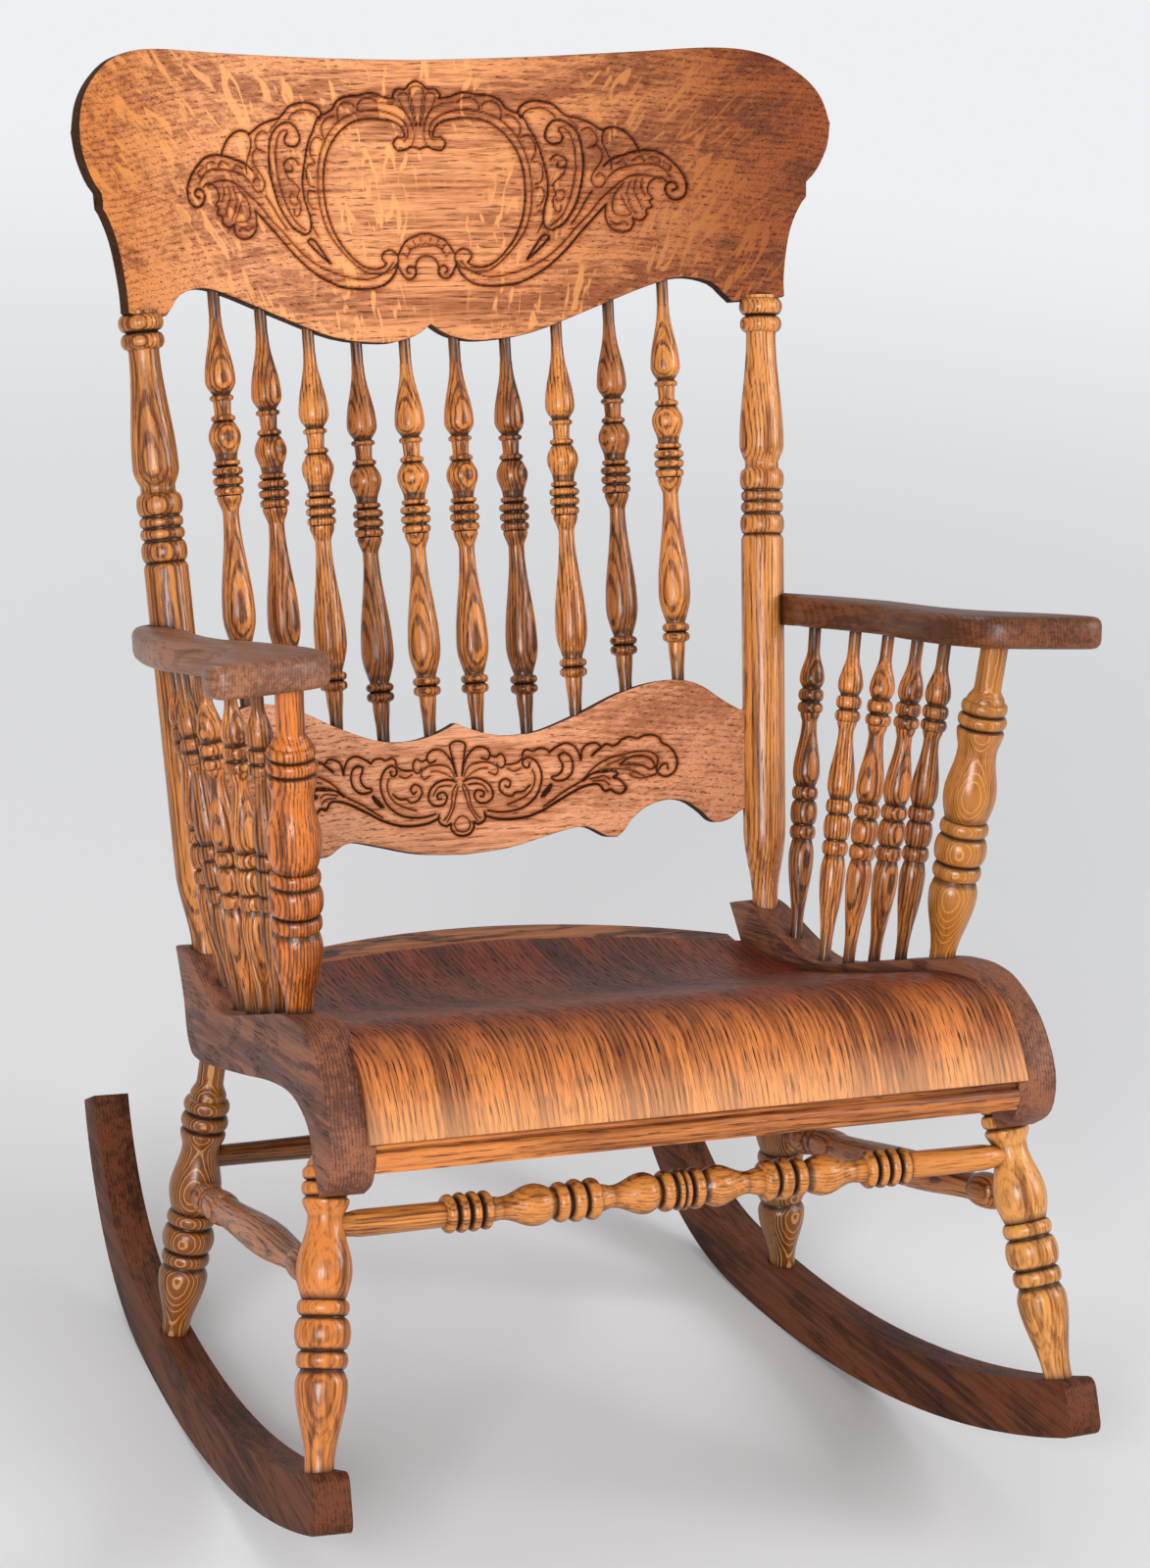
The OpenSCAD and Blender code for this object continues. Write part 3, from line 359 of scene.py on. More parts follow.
def face_rows(edge, count):
    """Shares of the way up the face, even in the middle and closer over both edges."""
    near = [edge * share for share in (0, 0.1, 0.3, 0.7)]
    even = [edge + (1 - 2 * edge) * i / count for i in range(count + 1)]
    return near + even + [1 - t for t in reversed(near)]


def columns_of(under, over, straight, count, tips, lift):
    """Pairs of lower and upper points, straight up in the middle and fanned at the ends."""
    half = [(at_x(under, x), at_x(over, x)) for x in [straight * i / count for i in range(count)]]
    under_end = [at_x(under, straight)] + [p for p in under if p[0] > straight or p[1] > SHOULDER_HIGH]
    over_end = [at_x(over, straight)] + [p for p in over if p[0] > straight]
    half += list(zip(evenly(under_end, tips), evenly(over_end, tips)))
    up = [([a[0], a[1] + lift], [b[0], b[1] + lift]) for a, b in half]
    return [([-a[0], a[1]], [-b[0], b[1]]) for a, b in reversed(up[1:])] + up


def carved_colour(finish, far=1.0):
    """Darker towards the ends of the board and round the carving, and black-brown in the grooves."""
    tree = finish.node_tree
    x = add(tree, "SeparateXYZ", {0: add(tree, "TexCoord").outputs["Object"]}).outputs["X"]
    overlaid(finish, ramp(tree, worked(tree, "ABSOLUTE", x), 0.17, 0.33, 0, far), "ecd8b0", "MULTIPLY")
    overlaid(finish, ramp(tree, x, 0.0, 0.33, 0, far), "ad8e60", "MULTIPLY")
    overlaid(finish, attribute(tree, "glaze"), "e6c4a0", "MULTIPLY")
    stained = attribute(tree, "darkened")
    overlaid(finish, stained, "150802")
    rough = varnish_of(finish, "Roughness")
    tree.links.new(worked(tree, "MAXIMUM", rough.links[0].from_socket, stained), rough)


# The outline: the scalloped lower edge with its point in the middle, the shoulders over the posts,
# the notch, and the round ear with the top edge.
crest_under = smooth_run([(0, -11.5), (11, -19), (23, -23.5), (45, -26.5), (90, -21.5), (145, -2.5),
                          (190, 13.5), (218, 19.5), (240, 14), (249, 5), (256, -4)], 4)
crest_under += [[296, -4]]
crest_under += smooth_run([(296, -4), (297, 18), (303, 52), (312, 74), (318, 82)], 4)[1:]
crest_under += smooth_run([(318, 82), (314, 89), (325, 102), (334, 122), (337, 142)], 4)[1:]
crest_over = smooth_run([(0, 212.5), (95, 213.5), (188, 214.5), (255, 214), (292, 205.5), (316, 188),
                         (331, 167), (337, 142)], 8)
# Each groove has its half width, and its points from the middle of the board and over its foot.
crest_grooves = [
    # The scroll frame with its lobed rim, and the shell on top of it.
    (1.4, [(20, 147), (24, 142), (20, 136), (12, 137), (7, 139), (0, 137)]),
    (1.3, [(20, 147), (14, 147), (13, 150), (16, 156), (22, 160), (30, 162), (42, 163), (56, 161.5),
           (68, 156), (79, 146), (87, 133), (91, 119), (92, 105), (91, 89), (87, 73), (80, 59), (70, 47),
           (60, 39), (50, 36), (42, 37), (37, 40)]),
    (1, [(10, 153), (12, 159), (18, 164), (28, 168), (40, 170), (56, 168), (70, 163), (82, 153), (91, 139),
         (96, 123), (97.6, 107), (97, 91), (94, 77), (89, 65), (80, 53), (68, 41), (56, 33), (46, 32),
         (36, 34), (28, 38)]),
    (1, [(10, 153), (10, 148), (14, 144)]),
    (0.9, [(6, 157), (8, 164), (14, 171), (22, 175), (34, 176)]),
    (1.4, [(20, 180), (30, 181), (38, 184), (46, 184.4), (54, 182.6), (62, 182), (70, 180), (76, 176),
           (79, 171), (86, 167), (91, 165), (96, 159), (99, 152), (103, 145), (106, 137), (108, 129),
           (110, 121), (111.5, 113), (112, 105), (111, 95), (108, 85), (106, 76), (107, 69), (110, 66),
           (115, 66), (125, 72), (135, 87), (140, 102), (143, 117), (143, 132), (140, 147), (132, 156),
           (122, 159), (115, 154), (112, 145), (117, 139), (125, 140), (127, 145), (124, 150)]),
    (1, [(36, 176), (42, 180), (50, 179.4), (55, 175), (55.5, 170)]),
    (1, [(58, 173), (64, 177), (71, 175), (75, 169), (74.5, 161)]),
    (1, [(78, 165), (85, 163), (91, 156), (90, 148), (88, 145)]),
    (1, [(91, 145), (97, 147), (102, 141), (103, 133), (99, 125)]),
    (1, [(101, 124), (106, 123), (108.4, 116), (106, 107), (101, 105)]),
    (1, [(101, 101), (106, 102), (108.6, 96), (105, 88), (101, 87)]),
    (1, [(102, 82), (106, 81), (105, 72), (100, 63)]),
    (1.4, [(0, 195), (6, 192), (10, 188), (17, 188), (21, 184), (22, 180)]),
    (0.9, [(1, 157), (4, 172), (6, 186), (3, 190), (0, 190.5)]),
    (0.9, [(2, 156), (6, 170), (8, 182), (12, 185), (17, 181), (11, 168), (5, 158)]),
    (0.9, [(5, 156), (4.4, 147), (7, 139)]),
    # The small shell that closes the frame below.
    (1.3, [(27, 39), (22, 30), (16.5, 27), (11, 30), (11, 36), (16, 38), (19, 34), (16, 32)]),
    (1.2, [(11, 36), (9, 42), (5, 45.5), (0, 46.5)]),
    (1.2, [(26, 47), (22, 54), (17, 60), (10, 63), (4, 65), (0, 65)]),
    (0.8, [(18, 45), (14, 52), (8, 55), (0, 57)]),
    (0.8, [(4, 56), (4.5, 61)]),
    (0.8, [(9, 54.5), (12, 60)]),
    (0.8, [(14, 51), (18, 56)]),
    (0.8, [(17.5, 46), (23, 49)]),
    (1.2, [(37, 40), (41, 45), (39, 50), (33, 52), (27, 48), (26, 42), (30, 38)]),
    # The long stems under the frame, and the tendrils beside it.
    (1.4, [(27, 40), (30, 32), (38, 24), (50, 20), (65, 19.5), (80, 21), (95, 27), (110, 36), (125, 49),
           (137.5, 62.5), (150, 75), (160, 85)]),
    (1, [(31, 41), (40, 32.5), (55, 27.5), (72, 29), (90, 34), (105, 41), (120, 52.5), (132, 65),
         (145, 77.5), (155, 89), (165, 97.5), (175, 105), (185, 109), (197, 108), (206, 104)]),
    (1.5, [(90, 41), (97, 51), (105, 61), (110, 59), (100, 49), (90, 41)]),
    (1.1, [(130, 70), (137, 79), (143, 89), (149, 97)]),
    (1, [(112, 69), (122, 77), (130, 92), (135, 110), (137, 125), (135, 142), (130, 151), (124, 152)]),
    (1.2, [(115, 125), (120, 129), (127, 127), (129, 122), (126, 118), (121, 119), (122, 123)]),
    (1, [(129, 122), (126, 113), (120, 108), (116, 103), (118, 96), (115, 90), (117, 82), (121, 81),
         (122, 86)]),
    (0.9, [(119, 99), (124, 99), (126, 94), (122, 90), (118, 91)]),
    # The scrolls over the frame's shoulders.
    (1.4, [(92, 162), (90, 167), (93, 172), (100, 175.5), (110, 175.5), (120, 172.5), (127, 166),
           (132, 162), (140, 160), (150, 156), (157, 151), (162, 148)]),
    (1, [(94, 160), (95, 166), (102, 169.5), (112, 169), (119, 165), (122, 161)]),
    (0.9, [(133, 159), (138, 155), (141, 150)]),
    (1, [(143, 149), (149, 151), (154, 147), (156, 140), (152, 134)]),
    (1, [(148, 134), (155, 136), (159.5, 130), (158, 122), (152, 114), (149, 107), (152, 101), (158, 101),
         (161, 107), (157, 112), (153, 110)]),
    # The outer leaf, with its curled tip and its veins.
    (1.4, [(162, 149), (168, 151), (176, 149), (184, 142), (189, 133), (190, 129)]),
    (1, [(162, 149), (160, 140), (163, 131), (166, 123), (166, 115)]),
    (1.4, [(160, 118), (168, 124), (178, 127), (190, 130), (202, 129), (210, 125), (217, 118), (223, 110),
           (226.5, 100), (225, 90), (219, 86), (213, 88), (209.5, 94), (211, 100), (217, 101), (219, 96),
           (215, 94)]),
    (1, [(163, 108), (170, 114), (180, 117), (192, 118), (203, 117), (210, 112), (214, 106)]),
    (0.9, [(170, 119), (176, 122), (179, 118)]),
    (0.9, [(184, 122), (191, 125), (194, 120)]),
    (0.9, [(198, 124), (205, 123), (206, 118)]),
    (0.9, [(209, 119), (215, 115), (213, 111)]),
    (1.2, [(160, 85), (159, 75), (162, 66), (170, 61), (178, 62), (182, 68), (181, 73)]),
    (1.2, [(181, 73), (187, 70), (193, 74), (193, 79), (198, 81), (196, 86), (199, 88)]),
    (1.1, [(199, 88), (195, 95), (198, 103), (206, 106), (211, 102)]),
    (0.9, [(176, 103), (168, 94), (165, 84), (167, 77), (173, 75), (180, 76), (176, 84), (173, 92)]),
    (0.9, [(181, 104), (178, 94), (180, 84), (184, 76)]),
    (0.9, [(186, 105), (184, 96), (187, 87), (190, 80)]),
    (0.9, [(191, 105.5), (190, 98), (193, 91)]),
    (0.9, [(163, 71), (168, 68), (174, 70), (177, 67)]),
]
crest_columns = columns_of(crest_under, crest_over, straight=236, count=190, tips=40, lift=CREST_FOOT)
crest = bent_board(crest_columns, face_rows(0.02, 180), mirrored(drawn(crest_grooves, CREST_FOOT)), back)
crest_finish = oak_finish("crest oak", "e99c66", "a3603a", at=(0, 0.3, 0.9), turn=ACROSS, pores=0.8,
                          rays=0.8, dirt_and_shade=0.35, gloss=0.5, coat=0, mirror=0.2)
carved_colour(crest_finish)
settle(crest, "crest_rail_carved", "crest_rail", crest_finish, 60)

# Back slat: a narrower bent board of the same oak, shaped below and pressed with a palmette
# between mirrored scrolls. Its ends are let into the two back posts.
SLAT_FOOT = 86
slat_under = smooth_run([(0, -24), (40, -21), (77, -12.5), (100, -7.5), (113, -8.5), (127, -16.5),
                         (136, -18)], 4)[:-1]
slat_under += smooth_run([(136, -18), (143, -12), (150, -3), (163, 6.5), (179, 11), (194, 9), (206, 0),
                          (213, -8)], 4)
slat_under += smooth_run([(213, -8), (219, -11), (229, -9), (237, -3)], 3)[1:]
slat_under += [[243, 0], [253.6, 0]]
slat_over = smooth_run([(0, 88), (12, 82.5), (34, 76), (58, 75), (80, 78.5), (113, 90.5), (146, 105),
                        (175, 112.5), (197, 113), (214, 106.5), (229, 94), (243, 84)], 4)
slat_over += [[253.6, 84]]
slat_grooves = [
    # The palmette in the middle and the scrolls beside it.
    (1.3, [(2.3, 43), (4, 52), (6.5, 64), (7, 69.5), (3.5, 72), (0, 72.5)]),
    (1.3, [(3.3, 45), (5, 52), (9, 60), (16, 66), (24, 66), (29, 61), (27, 55.5), (21, 57)]),
    (1, [(4.3, 42), (7, 48), (12, 52), (21, 53.5), (30, 52), (35.5, 47), (33, 42), (27, 44.5)]),
    (0.9, [(5, 40), (12, 45), (20, 48), (26, 48)]),
    (1.2, [(29, 59), (34, 57), (38.5, 59.5), (42, 56), (42, 50), (38, 47.5), (34.5, 51)]),
    (1.2, [(43, 50), (48, 50), (54, 51.5), (58, 55), (58.5, 59), (62, 61.5), (68, 60), (73, 62), (79, 61),
           (82, 58)]),
    (1.3, [(24, 12), (35, 10), (47, 10.5), (58, 13.5), (68, 21.5), (73, 31.5), (74, 41.5), (70, 51),
           (63, 55), (58, 52), (59, 47), (63, 46.5), (64, 50)]),
    (1, [(42, 16), (50, 18.5), (60, 23), (66, 30), (68, 38), (66, 44)]),
    (1, [(44, 46.5), (50, 44), (56, 46)]),
    (1.2, [(63, 31), (57, 26.5), (50, 26), (46.5, 23), (40, 24.5), (35.7, 30), (37, 36), (42, 38), (46, 35),
           (44, 30.5), (41, 32)]),
    # The two volutes and the lobed foot under it.
    (1.3, [(3.3, 38), (11.7, 40.5), (21.7, 38), (28, 32), (29.5, 24), (24, 19), (16, 19.5), (12.5, 25.5),
           (15.5, 30), (21, 28.5), (21, 24.5), (18, 24.5)]),
    (1, [(8, 35), (15, 35.5), (21, 33.5), (25, 28)]),
    (1, [(3, 36), (6.5, 31), (8, 25), (9, 18), (13, 10), (17, 6)]),
    (1, [(2, 34), (5, 24), (7, 16), (11.5, 8), (14, 4.5)]),
    (1.4, [(21, 11), (21.5, 6), (18.5, 2.5), (14, 1.2), (10.5, 3), (10.5, -1), (8, -5), (4, -7.4),
           (0, -8)]),
    (1, [(7.5, 3), (6.5, -1), (4, -3.8), (0, -4.6)]),
    (0.9, [(0, 9), (4, 7.5), (7.5, 3)]),
    # The long stem with its leaves, out to the curled tip.
    (1.5, [(21, 8), (32, 4.5), (45, 3.3), (58, 4.3), (72, 8.5), (88, 16.7), (105, 25), (115, 28), (123, 28),
           (128, 22), (133, 23), (137, 20), (142, 19), (146, 23), (144, 28), (140, 31.5), (136, 33),
           (140, 36), (136, 39), (128, 38.5), (118, 37.5), (110, 32)]),
    (1.1, [(74, 12), (82, 17), (92, 23.5), (102, 28.5), (110, 33), (118, 41), (128, 47.5), (138, 51),
           (147, 52.5), (158, 54), (168, 53), (174, 48), (173, 40)]),
    (1.6, [(73, 21), (77, 26), (82, 30.5), (80, 26), (75, 21)]),
    (1.3, [(90, 55), (95, 57), (100, 53.5), (102, 46.5), (100, 38.5), (93, 33.5), (85, 34), (83, 37),
           (88, 38), (92, 42), (93, 47), (91, 51), (90, 55)]),
    (1.3, [(82, 58), (88, 62), (96.5, 65), (104, 62), (108, 55), (109, 50), (111, 59), (116.5, 63),
           (123, 63.5), (127.5, 60), (131.5, 62), (137, 60), (142, 62), (145, 65), (152, 67), (158, 65),
           (163, 67), (170, 67.3), (176, 65), (178.5, 60), (184, 56.7), (188.5, 50), (190, 42), (187, 34.5),
           (180, 31), (174, 34), (172, 40)]),
    (1.5, [(119, 53), (123, 56.5), (127, 59)]),
    (1.2, [(142, 43.5), (150, 49), (160, 50.3), (168, 47), (171.5, 40.5), (167, 38), (161.5, 41.5),
           (153, 43), (142, 43.5)]),
    (1, [(113, 36), (128, 40.5), (141.5, 40), (152, 38), (160, 33.5), (164, 31)]),
    (1.1, [(150, 34), (158, 31), (166.5, 32), (172, 34), (176, 40), (181, 42), (182, 37)]),
    (1, [(118, 31), (128, 30.5), (132, 27)]),
    (1, [(116, 33), (121, 34), (128, 35), (133, 32)]),
    (0.9, [(131, 44), (140, 47), (148, 50)]),
]
slat_columns = columns_of(slat_under, slat_over, straight=222, count=280, tips=14, lift=SLAT_FOOT)
slat = bent_board(slat_columns, face_rows(0.04, 128), mirrored(drawn(slat_grooves, SLAT_FOOT)), back)
slat_finish = oak_finish("slat oak", "fbb184", "c07850", at=(0, 0.12, 0.45), turn=ACROSS, pores=0.8,
                         rays=0.12, dirt_and_shade=0.35, gloss=0.45, coat=0, mirror=0.2)
carved_colour(slat_finish, 0.6)
settle(slat, "back_slat_carved", "back_slat", slat_finish, 60)

# Back posts: turned oak, straight below with four beads, a long vase and two beads under the crest.
# Every turned piece is its line, spun about its axis, with the grain along that axis. A row of a
# line gives the shape of a cut, where it starts and ends along the piece, and its two diameters.
CUT_POINTS = {"bead": 9, "swell": 7, "sweep": 10, "line": 0}
VALLEY_REACH = 6
VALLEY_FULL = 2.4
VALLEY_DARKNESS = 0.88
END_REACH = 26
END_DARKNESS = 0.7
SLENDER = 12


def cut_shares(shape, t, growing):
    """How far along and how far over to its second diameter a cut has come at t."""
    if shape == "bead":
        return (1 - math.cos(math.pi * t)) / 2, math.sin(math.pi * t)
    if shape == "swell":
        return t, math.sin(math.pi * t / 2) if growing else 1 - math.cos(math.pi * t / 2)
    if shape == "sweep":
        return t, (1 - math.cos(math.pi * t)) / 2
    return 0, 0


def turning_line(rows, length, pins):
    """Radius and height from the foot of the pin below to the head of the pin above."""
    below, above = pins
    line = [(0, -below), (rows[0][3] / 2, -below)]
    for shape, start, end, first, second in rows[1:]:
        for k in range(CUT_POINTS[shape] + 1):
            along, over = cut_shares(shape, k / max(CUT_POINTS[shape], 1), second > first)
            line.append(((first + (second - first) * over) / 2, length * (start + (end - start) * along)))
    return line + [(rows[-1][4] / 2, length + above), (0, length + above)]


def valley_and_end_darkening(line, length, slender):
    """Darker in the valleys between beads, and towards both ends of a slender piece."""
    dark = []
    for r, z in line:
        lower, upper = (max(q for q, y in line if 0 <= (y - z) * way <= VALLEY_REACH) for way in (-1, 1))
        valley = min(1, max(0, min(lower, upper) - r) / VALLEY_FULL) ** 0.6
        end = max(0, 1 - min(z, length - z) / END_REACH) if slender else 0
        dark.append(max(VALLEY_DARKNESS * valley, END_DARKNESS * end))
    return dark


def turned(node, rows, foot, head, pins, light, deep, sides=36, pores=0.9, facing=0, rings=0.8, close=110,
           pale_rings=False):
    """A turned piece from foot to head, and further by its two pins, in place of its node's solid."""
    name = node + "_turned"
    foot, head = Vector(foot) / 1000, Vector(head) / 1000
    length = (head - foot).length * 1000
    line = turning_line(rows, length, pins)
    mesh = bpy.data.meshes.new(name)
    points = [(r / 1000, 0, z / 1000) for r, z in line]
    mesh.from_pydata(points, [(i, i + 1) for i in range(len(line) - 1)], [])
    darkened = mesh.attributes.new("darkened", "FLOAT", "POINT")
    darkened.data.foreach_set("value", valley_and_end_darkening(line, length, rows[0][3] < SLENDER))
    piece = bpy.data.objects.new(name, mesh)
    bpy.context.scene.collection.objects.link(piece)
    only(piece)
    bpy.ops.object.mode_set(mode="EDIT")
    bpy.ops.mesh.select_all(action="SELECT")
    bpy.ops.mesh.spin(steps=sides, angle=2 * math.pi, center=(0, 0, 0), axis=(0, 0, 1))
    closed_skin()
    swing = Vector((0, 0, 1)).rotation_difference(head - foot)
    mesh.transform(Matrix.Translation(foot) @ swing.to_matrix().to_4x4())
    turn = (swing.to_matrix() @ Matrix.Rotation(math.radians(facing), 3, "Z")).to_euler()
    finish = oak_finish(name + " oak", light, deep, at=foot, turn=turn, pores=pores, rings=rings, close=close,
                        gloss=0.3, coat=0.15)
    if pale_rings:
        layer = next(n for n in finish.node_tree.nodes if n.type == "GROUP").outputs["Layer"]
        overlaid(finish, ramp(finish.node_tree, layer, 0.82, 0.98, 0, 0.55), "dca05a")
    overlaid(finish, attribute(finish.node_tree, "darkened"), "1a0b04")
    return settle(piece, name, node, finish, 50)


def on_side(point, sign):
    """The same point on the left (-1) or on the right (1) of the chair."""
    return (point[0] * sign, *point[1:])


SIDES = (("left", -1), ("right", 1))
post_rows = [
    ("line", 0, 0.012, 22, 22), ("sweep", 0.012, 0.13, 22, 36.5), ("line", 0.13, 0.6, 36.5, 36.5),
    ("swell", 0.6, 0.608, 36.5, 33), ("bead", 0.61, 0.642, 31.5, 37.8), ("bead", 0.645, 0.662, 31, 36.6),
    ("bead", 0.664, 0.68, 31, 36), ("bead", 0.682, 0.716, 31, 38), ("line", 0.719, 0.727, 28.5, 28.5),
    ("swell", 0.729, 0.757, 29, 38), ("sweep", 0.757, 0.935, 38, 25.3), ("bead", 0.94, 0.966, 26, 35.8),
    ("bead", 0.968, 0.995, 27.5, 37.2), ("line", 0.995, 1, 28.9, 28.9)]
post_foot, post_head = (255.3, 66.1, 361.0), (281.5, 246.5, 853.1)
post_pins = (8, 0)
post_wood = {"left": {"light": "cf833c", "deep": "6a3512", "facing": -116},
             "right": {"light": "e0934c", "deep": "854618"}}
for side, sign in SIDES:
    turned("back_post_" + side, post_rows, on_side(post_foot, sign), on_side(post_head, sign), post_pins,
           sides=48, **post_wood[side])

# Back spindles: ten slender turned spindles, fanned a little, between slat and crest. No two were
# cut from the same stick, so their tones differ and their rings face different ways.
spindle_rows = [
    ("line", 0, 0.01, 9.6, 9.6), ("sweep", 0.01, 0.086, 11, 14.5), ("bead", 0.09, 0.112, 18, 23.5),
    ("bead", 0.114, 0.135, 17, 23.5), ("swell", 0.138, 0.212, 16.5, 27.5),
    ("sweep", 0.212, 0.455, 27.5, 13.3), ("sweep", 0.455, 0.497, 13.3, 21), ("bead", 0.499, 0.52, 18.5, 24.6),
    ("bead", 0.523, 0.544, 18.5, 25.6), ("bead", 0.547, 0.567, 18.5, 25.9), ("bead", 0.57, 0.584, 17, 22.6),
    ("sweep", 0.587, 0.64, 18, 27), ("swell", 0.64, 0.674, 27, 18), ("bead", 0.677, 0.691, 15.5, 20.4),
    ("line", 0.696, 0.72, 13.6, 13.6), ("bead", 0.726, 0.74, 15, 20.2), ("swell", 0.744, 0.774, 15.5, 25.4),
    ("sweep", 0.774, 0.925, 25.4, 10.6), ("line", 0.925, 1, 10, 10)]
spindle_ends = [
    ((22.0, 180.5, 497.3), (22.8, 303.5, 810.4)), ((65.9, 176.3, 495.4), (68.2, 300.1, 811.2)),
    ((109.8, 174.7, 508.7), (113.8, 297.6, 823.6)), ((153.7, 171.5, 527.5), (159.2, 293.7, 842.3)),
    ((197.6, 162.0, 539.6), (204.8, 285.6, 860.8))]
spindle_tones = {"golden": ("e08d45", "733a12"), "brown": ("b26a30", "431f09"),
                 "pale": ("e29149", "7c4015"), "nut": ("cc7b3a", "5a2b0d")}
spindle_pins = (12, 12)
spindles = ("golden", "nut", "pale", "brown", "golden", "golden", "brown", "pale", "brown", "pale")
for i, stick in enumerate(spindles):
    sign = 1 if i > 4 else -1
    foot, head = spindle_ends[i - 5 if i > 4 else 4 - i]
    turned("back_spindle_%d" % (i + 1), spindle_rows, on_side(foot, sign), on_side(head, sign), spindle_pins,
           *spindle_tones[stick], sides=32, pores=1.1, facing=(37 * i + 20) % 180 - 116)

# Arms: flat oak boards, widened at the hand and the elbow, with rounded edges. Each is notched round
# its back post and screwed to it from outside, under a round plug.
SAME_PLANE = math.radians(0.6)
EASED_OVER = math.radians(32)


def from_frame(node, ease=0.0, turns=2):
    """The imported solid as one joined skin, with its corners eased by this much."""
    piece = bpy.data.objects.new(node + "_shaped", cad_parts[node].data.copy())
    bpy.context.scene.collection.objects.link(piece)
    only(piece)
    bpy.ops.object.mode_set(mode="EDIT")
    bpy.ops.mesh.select_all(action="SELECT")
    bpy.ops.mesh.remove_doubles(threshold=1e-5)
    if ease:
        bpy.ops.mesh.dissolve_limited(angle_limit=SAME_PLANE)
    bpy.ops.object.mode_set(mode="OBJECT")
    if ease:
        eased = piece.modifiers.new("eased edge", "BEVEL")
        eased.width, eased.segments = ease, turns
        eased.limit_method, eased.angle_limit = "ANGLE", EASED_OVER
        eased.use_clamp_overlap = True
        bpy.ops.object.modifier_apply(modifier=eased.name)
    return piece


arm_wood = {"left": ("9c6747", "6c4430"), "right": ("7a4526", "4c2813")}
for side, sign in SIDES:
    finish = oak_finish("arm oak " + side, *arm_wood[side], at=(0.3 * sign, -0.1, 0.68),
                        turn=(math.radians(-106), 0, math.radians(-5.5 * sign)), pores=0.5, dirt_and_shade=0.6,
                        gloss=0.4, rings=0.5, close=120)
    settle(from_frame("arm_" + side), "arm_" + side + "_shaped", "arm_" + side, finish, 45)

# Screws and plugs: a plain steel screw through the end of each arm, and the oak plug over it,
# trimmed flush with the arm's outer edge.
steel = bpy.data.materials.new("screw steel")
steel.use_nodes = True
metal = steel.node_tree
skin = metal.nodes["Principled BSDF"]
skin.inputs["Metallic"].default_value = 1.0
worn = add(metal, "TexNoise", {"Scale": 900, "Detail": 3}).outputs[0]
metal.links.new(shade(metal, worn, tone("8f8a84"), tone("6c675f")), skin.inputs["Base Color"])
metal.links.new(ramp(metal, worn, 0.3, 0.7, 0.3, 0.5), skin.inputs["Roughness"])
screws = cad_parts["arm_screws"]
screws.data.materials.clear()
screws.data.materials.append(steel)
# The saw runs this far, in metres, inside the middle of a plug.
TRIM_INSIDE_MIDDLE = 0.0009
plugs = from_frame("arm_screw_plugs")
for side, sign in SIDES:
    plug = [v for v in plugs.data.vertices if v.co.x * sign > 0]
    axis, edge_normal = Vector((0.9941 * sign, 0.083, -0.0698)), Vector((0.9459 * sign, 0.2975, -0.1283))
    flush = sum((v.co for v in plug), Vector()) / len(plug) - axis * TRIM_INSIDE_MIDDLE
    for vertex in plug:
        over = (vertex.co - flush).dot(edge_normal)
        if over > 0:
            vertex.co -= axis * over / axis.dot(edge_normal)
settle(plugs, "arm_screw_plugs_trimmed", "arm_screw_plugs",
       oak_finish("plug oak", "4a2b18", "2a150a", turn=ACROSS))

# Arm posts and arm spindles: turned oak like the legs, the spindles thinner, set between the side
# rail and the underside of the arm.
arm_post_rows = [
    ("line", 0, 0.015, 21, 21), ("sweep", 0.015, 0.217, 21, 39.5), ("swell", 0.217, 0.262, 39.5, 33.5),
    ("bead", 0.265, 0.313, 33, 39.8), ("bead", 0.316, 0.402, 33.5, 42.8), ("bead", 0.405, 0.45, 33, 40),
    ("swell", 0.453, 0.535, 34, 43), ("sweep", 0.535, 0.67, 43, 32), ("sweep", 0.67, 0.735, 32, 38.5),
    ("swell", 0.735, 0.745, 38.5, 33.5), ("bead", 0.748, 0.788, 32.5, 40), ("bead", 0.791, 0.829, 31.5, 37.6),
    ("sweep", 0.832, 0.87, 31, 22), ("line", 0.87, 1, 22, 22)]
arm_spindle_rows = [
    ("line", 0, 0.03, 10, 10), ("sweep", 0.03, 0.26, 10, 21.4), ("swell", 0.26, 0.31, 21.4, 17),
    ("bead", 0.314, 0.358, 16.5, 22.3), ("bead", 0.361, 0.438, 16.5, 23), ("bead", 0.441, 0.484, 16.5, 22.3),
    ("swell", 0.487, 0.53, 17, 23), ("sweep", 0.53, 0.69, 23, 12.8), ("sweep", 0.69, 0.72, 12.8, 16.5),
    ("bead", 0.722, 0.756, 16, 21.8), ("bead", 0.76, 0.8, 15.5, 21.8), ("swell", 0.804, 0.832, 15.5, 21.4),
    ("sweep", 0.832, 0.93, 21.4, 10.4), ("line", 0.93, 1, 10.4, 10.4)]
arm_spindle_ends = [
    ((258.9, 11.3, 355.9), (289.2, 95.3, 603.3)), ((262.8, -35.5, 354.4), (301.2, 45.5, 616.8)),
    ((266.1, -71.5, 364.8), (303.9, -6.7, 631.4)), ((269.5, -107.8, 380.3), (302.2, -59.3, 646.4)),
    ((273.0, -145.4, 397.1), (299.2, -110.0, 660.9))]
arm_post_foot, arm_post_head = (279.2, -201.1, 419.3), (301.7, -184.6, 681.9)
arm_post_pins = (12, 12)
arm_spindle_pins = (10, 10)
arm_post_wood = {
    "left": {"light": "d2742c", "deep": "6e3410"},
    "right": {"light": "b06c2a", "deep": "774417", "pores": 0.25, "facing": -116, "rings": 0, "close": 190,
              "pale_rings": True}}
arm_spindles = {"left": ("nut", "brown", "nut", "golden", "brown"),
                "right": ("brown", "golden", "nut", "nut", "brown")}
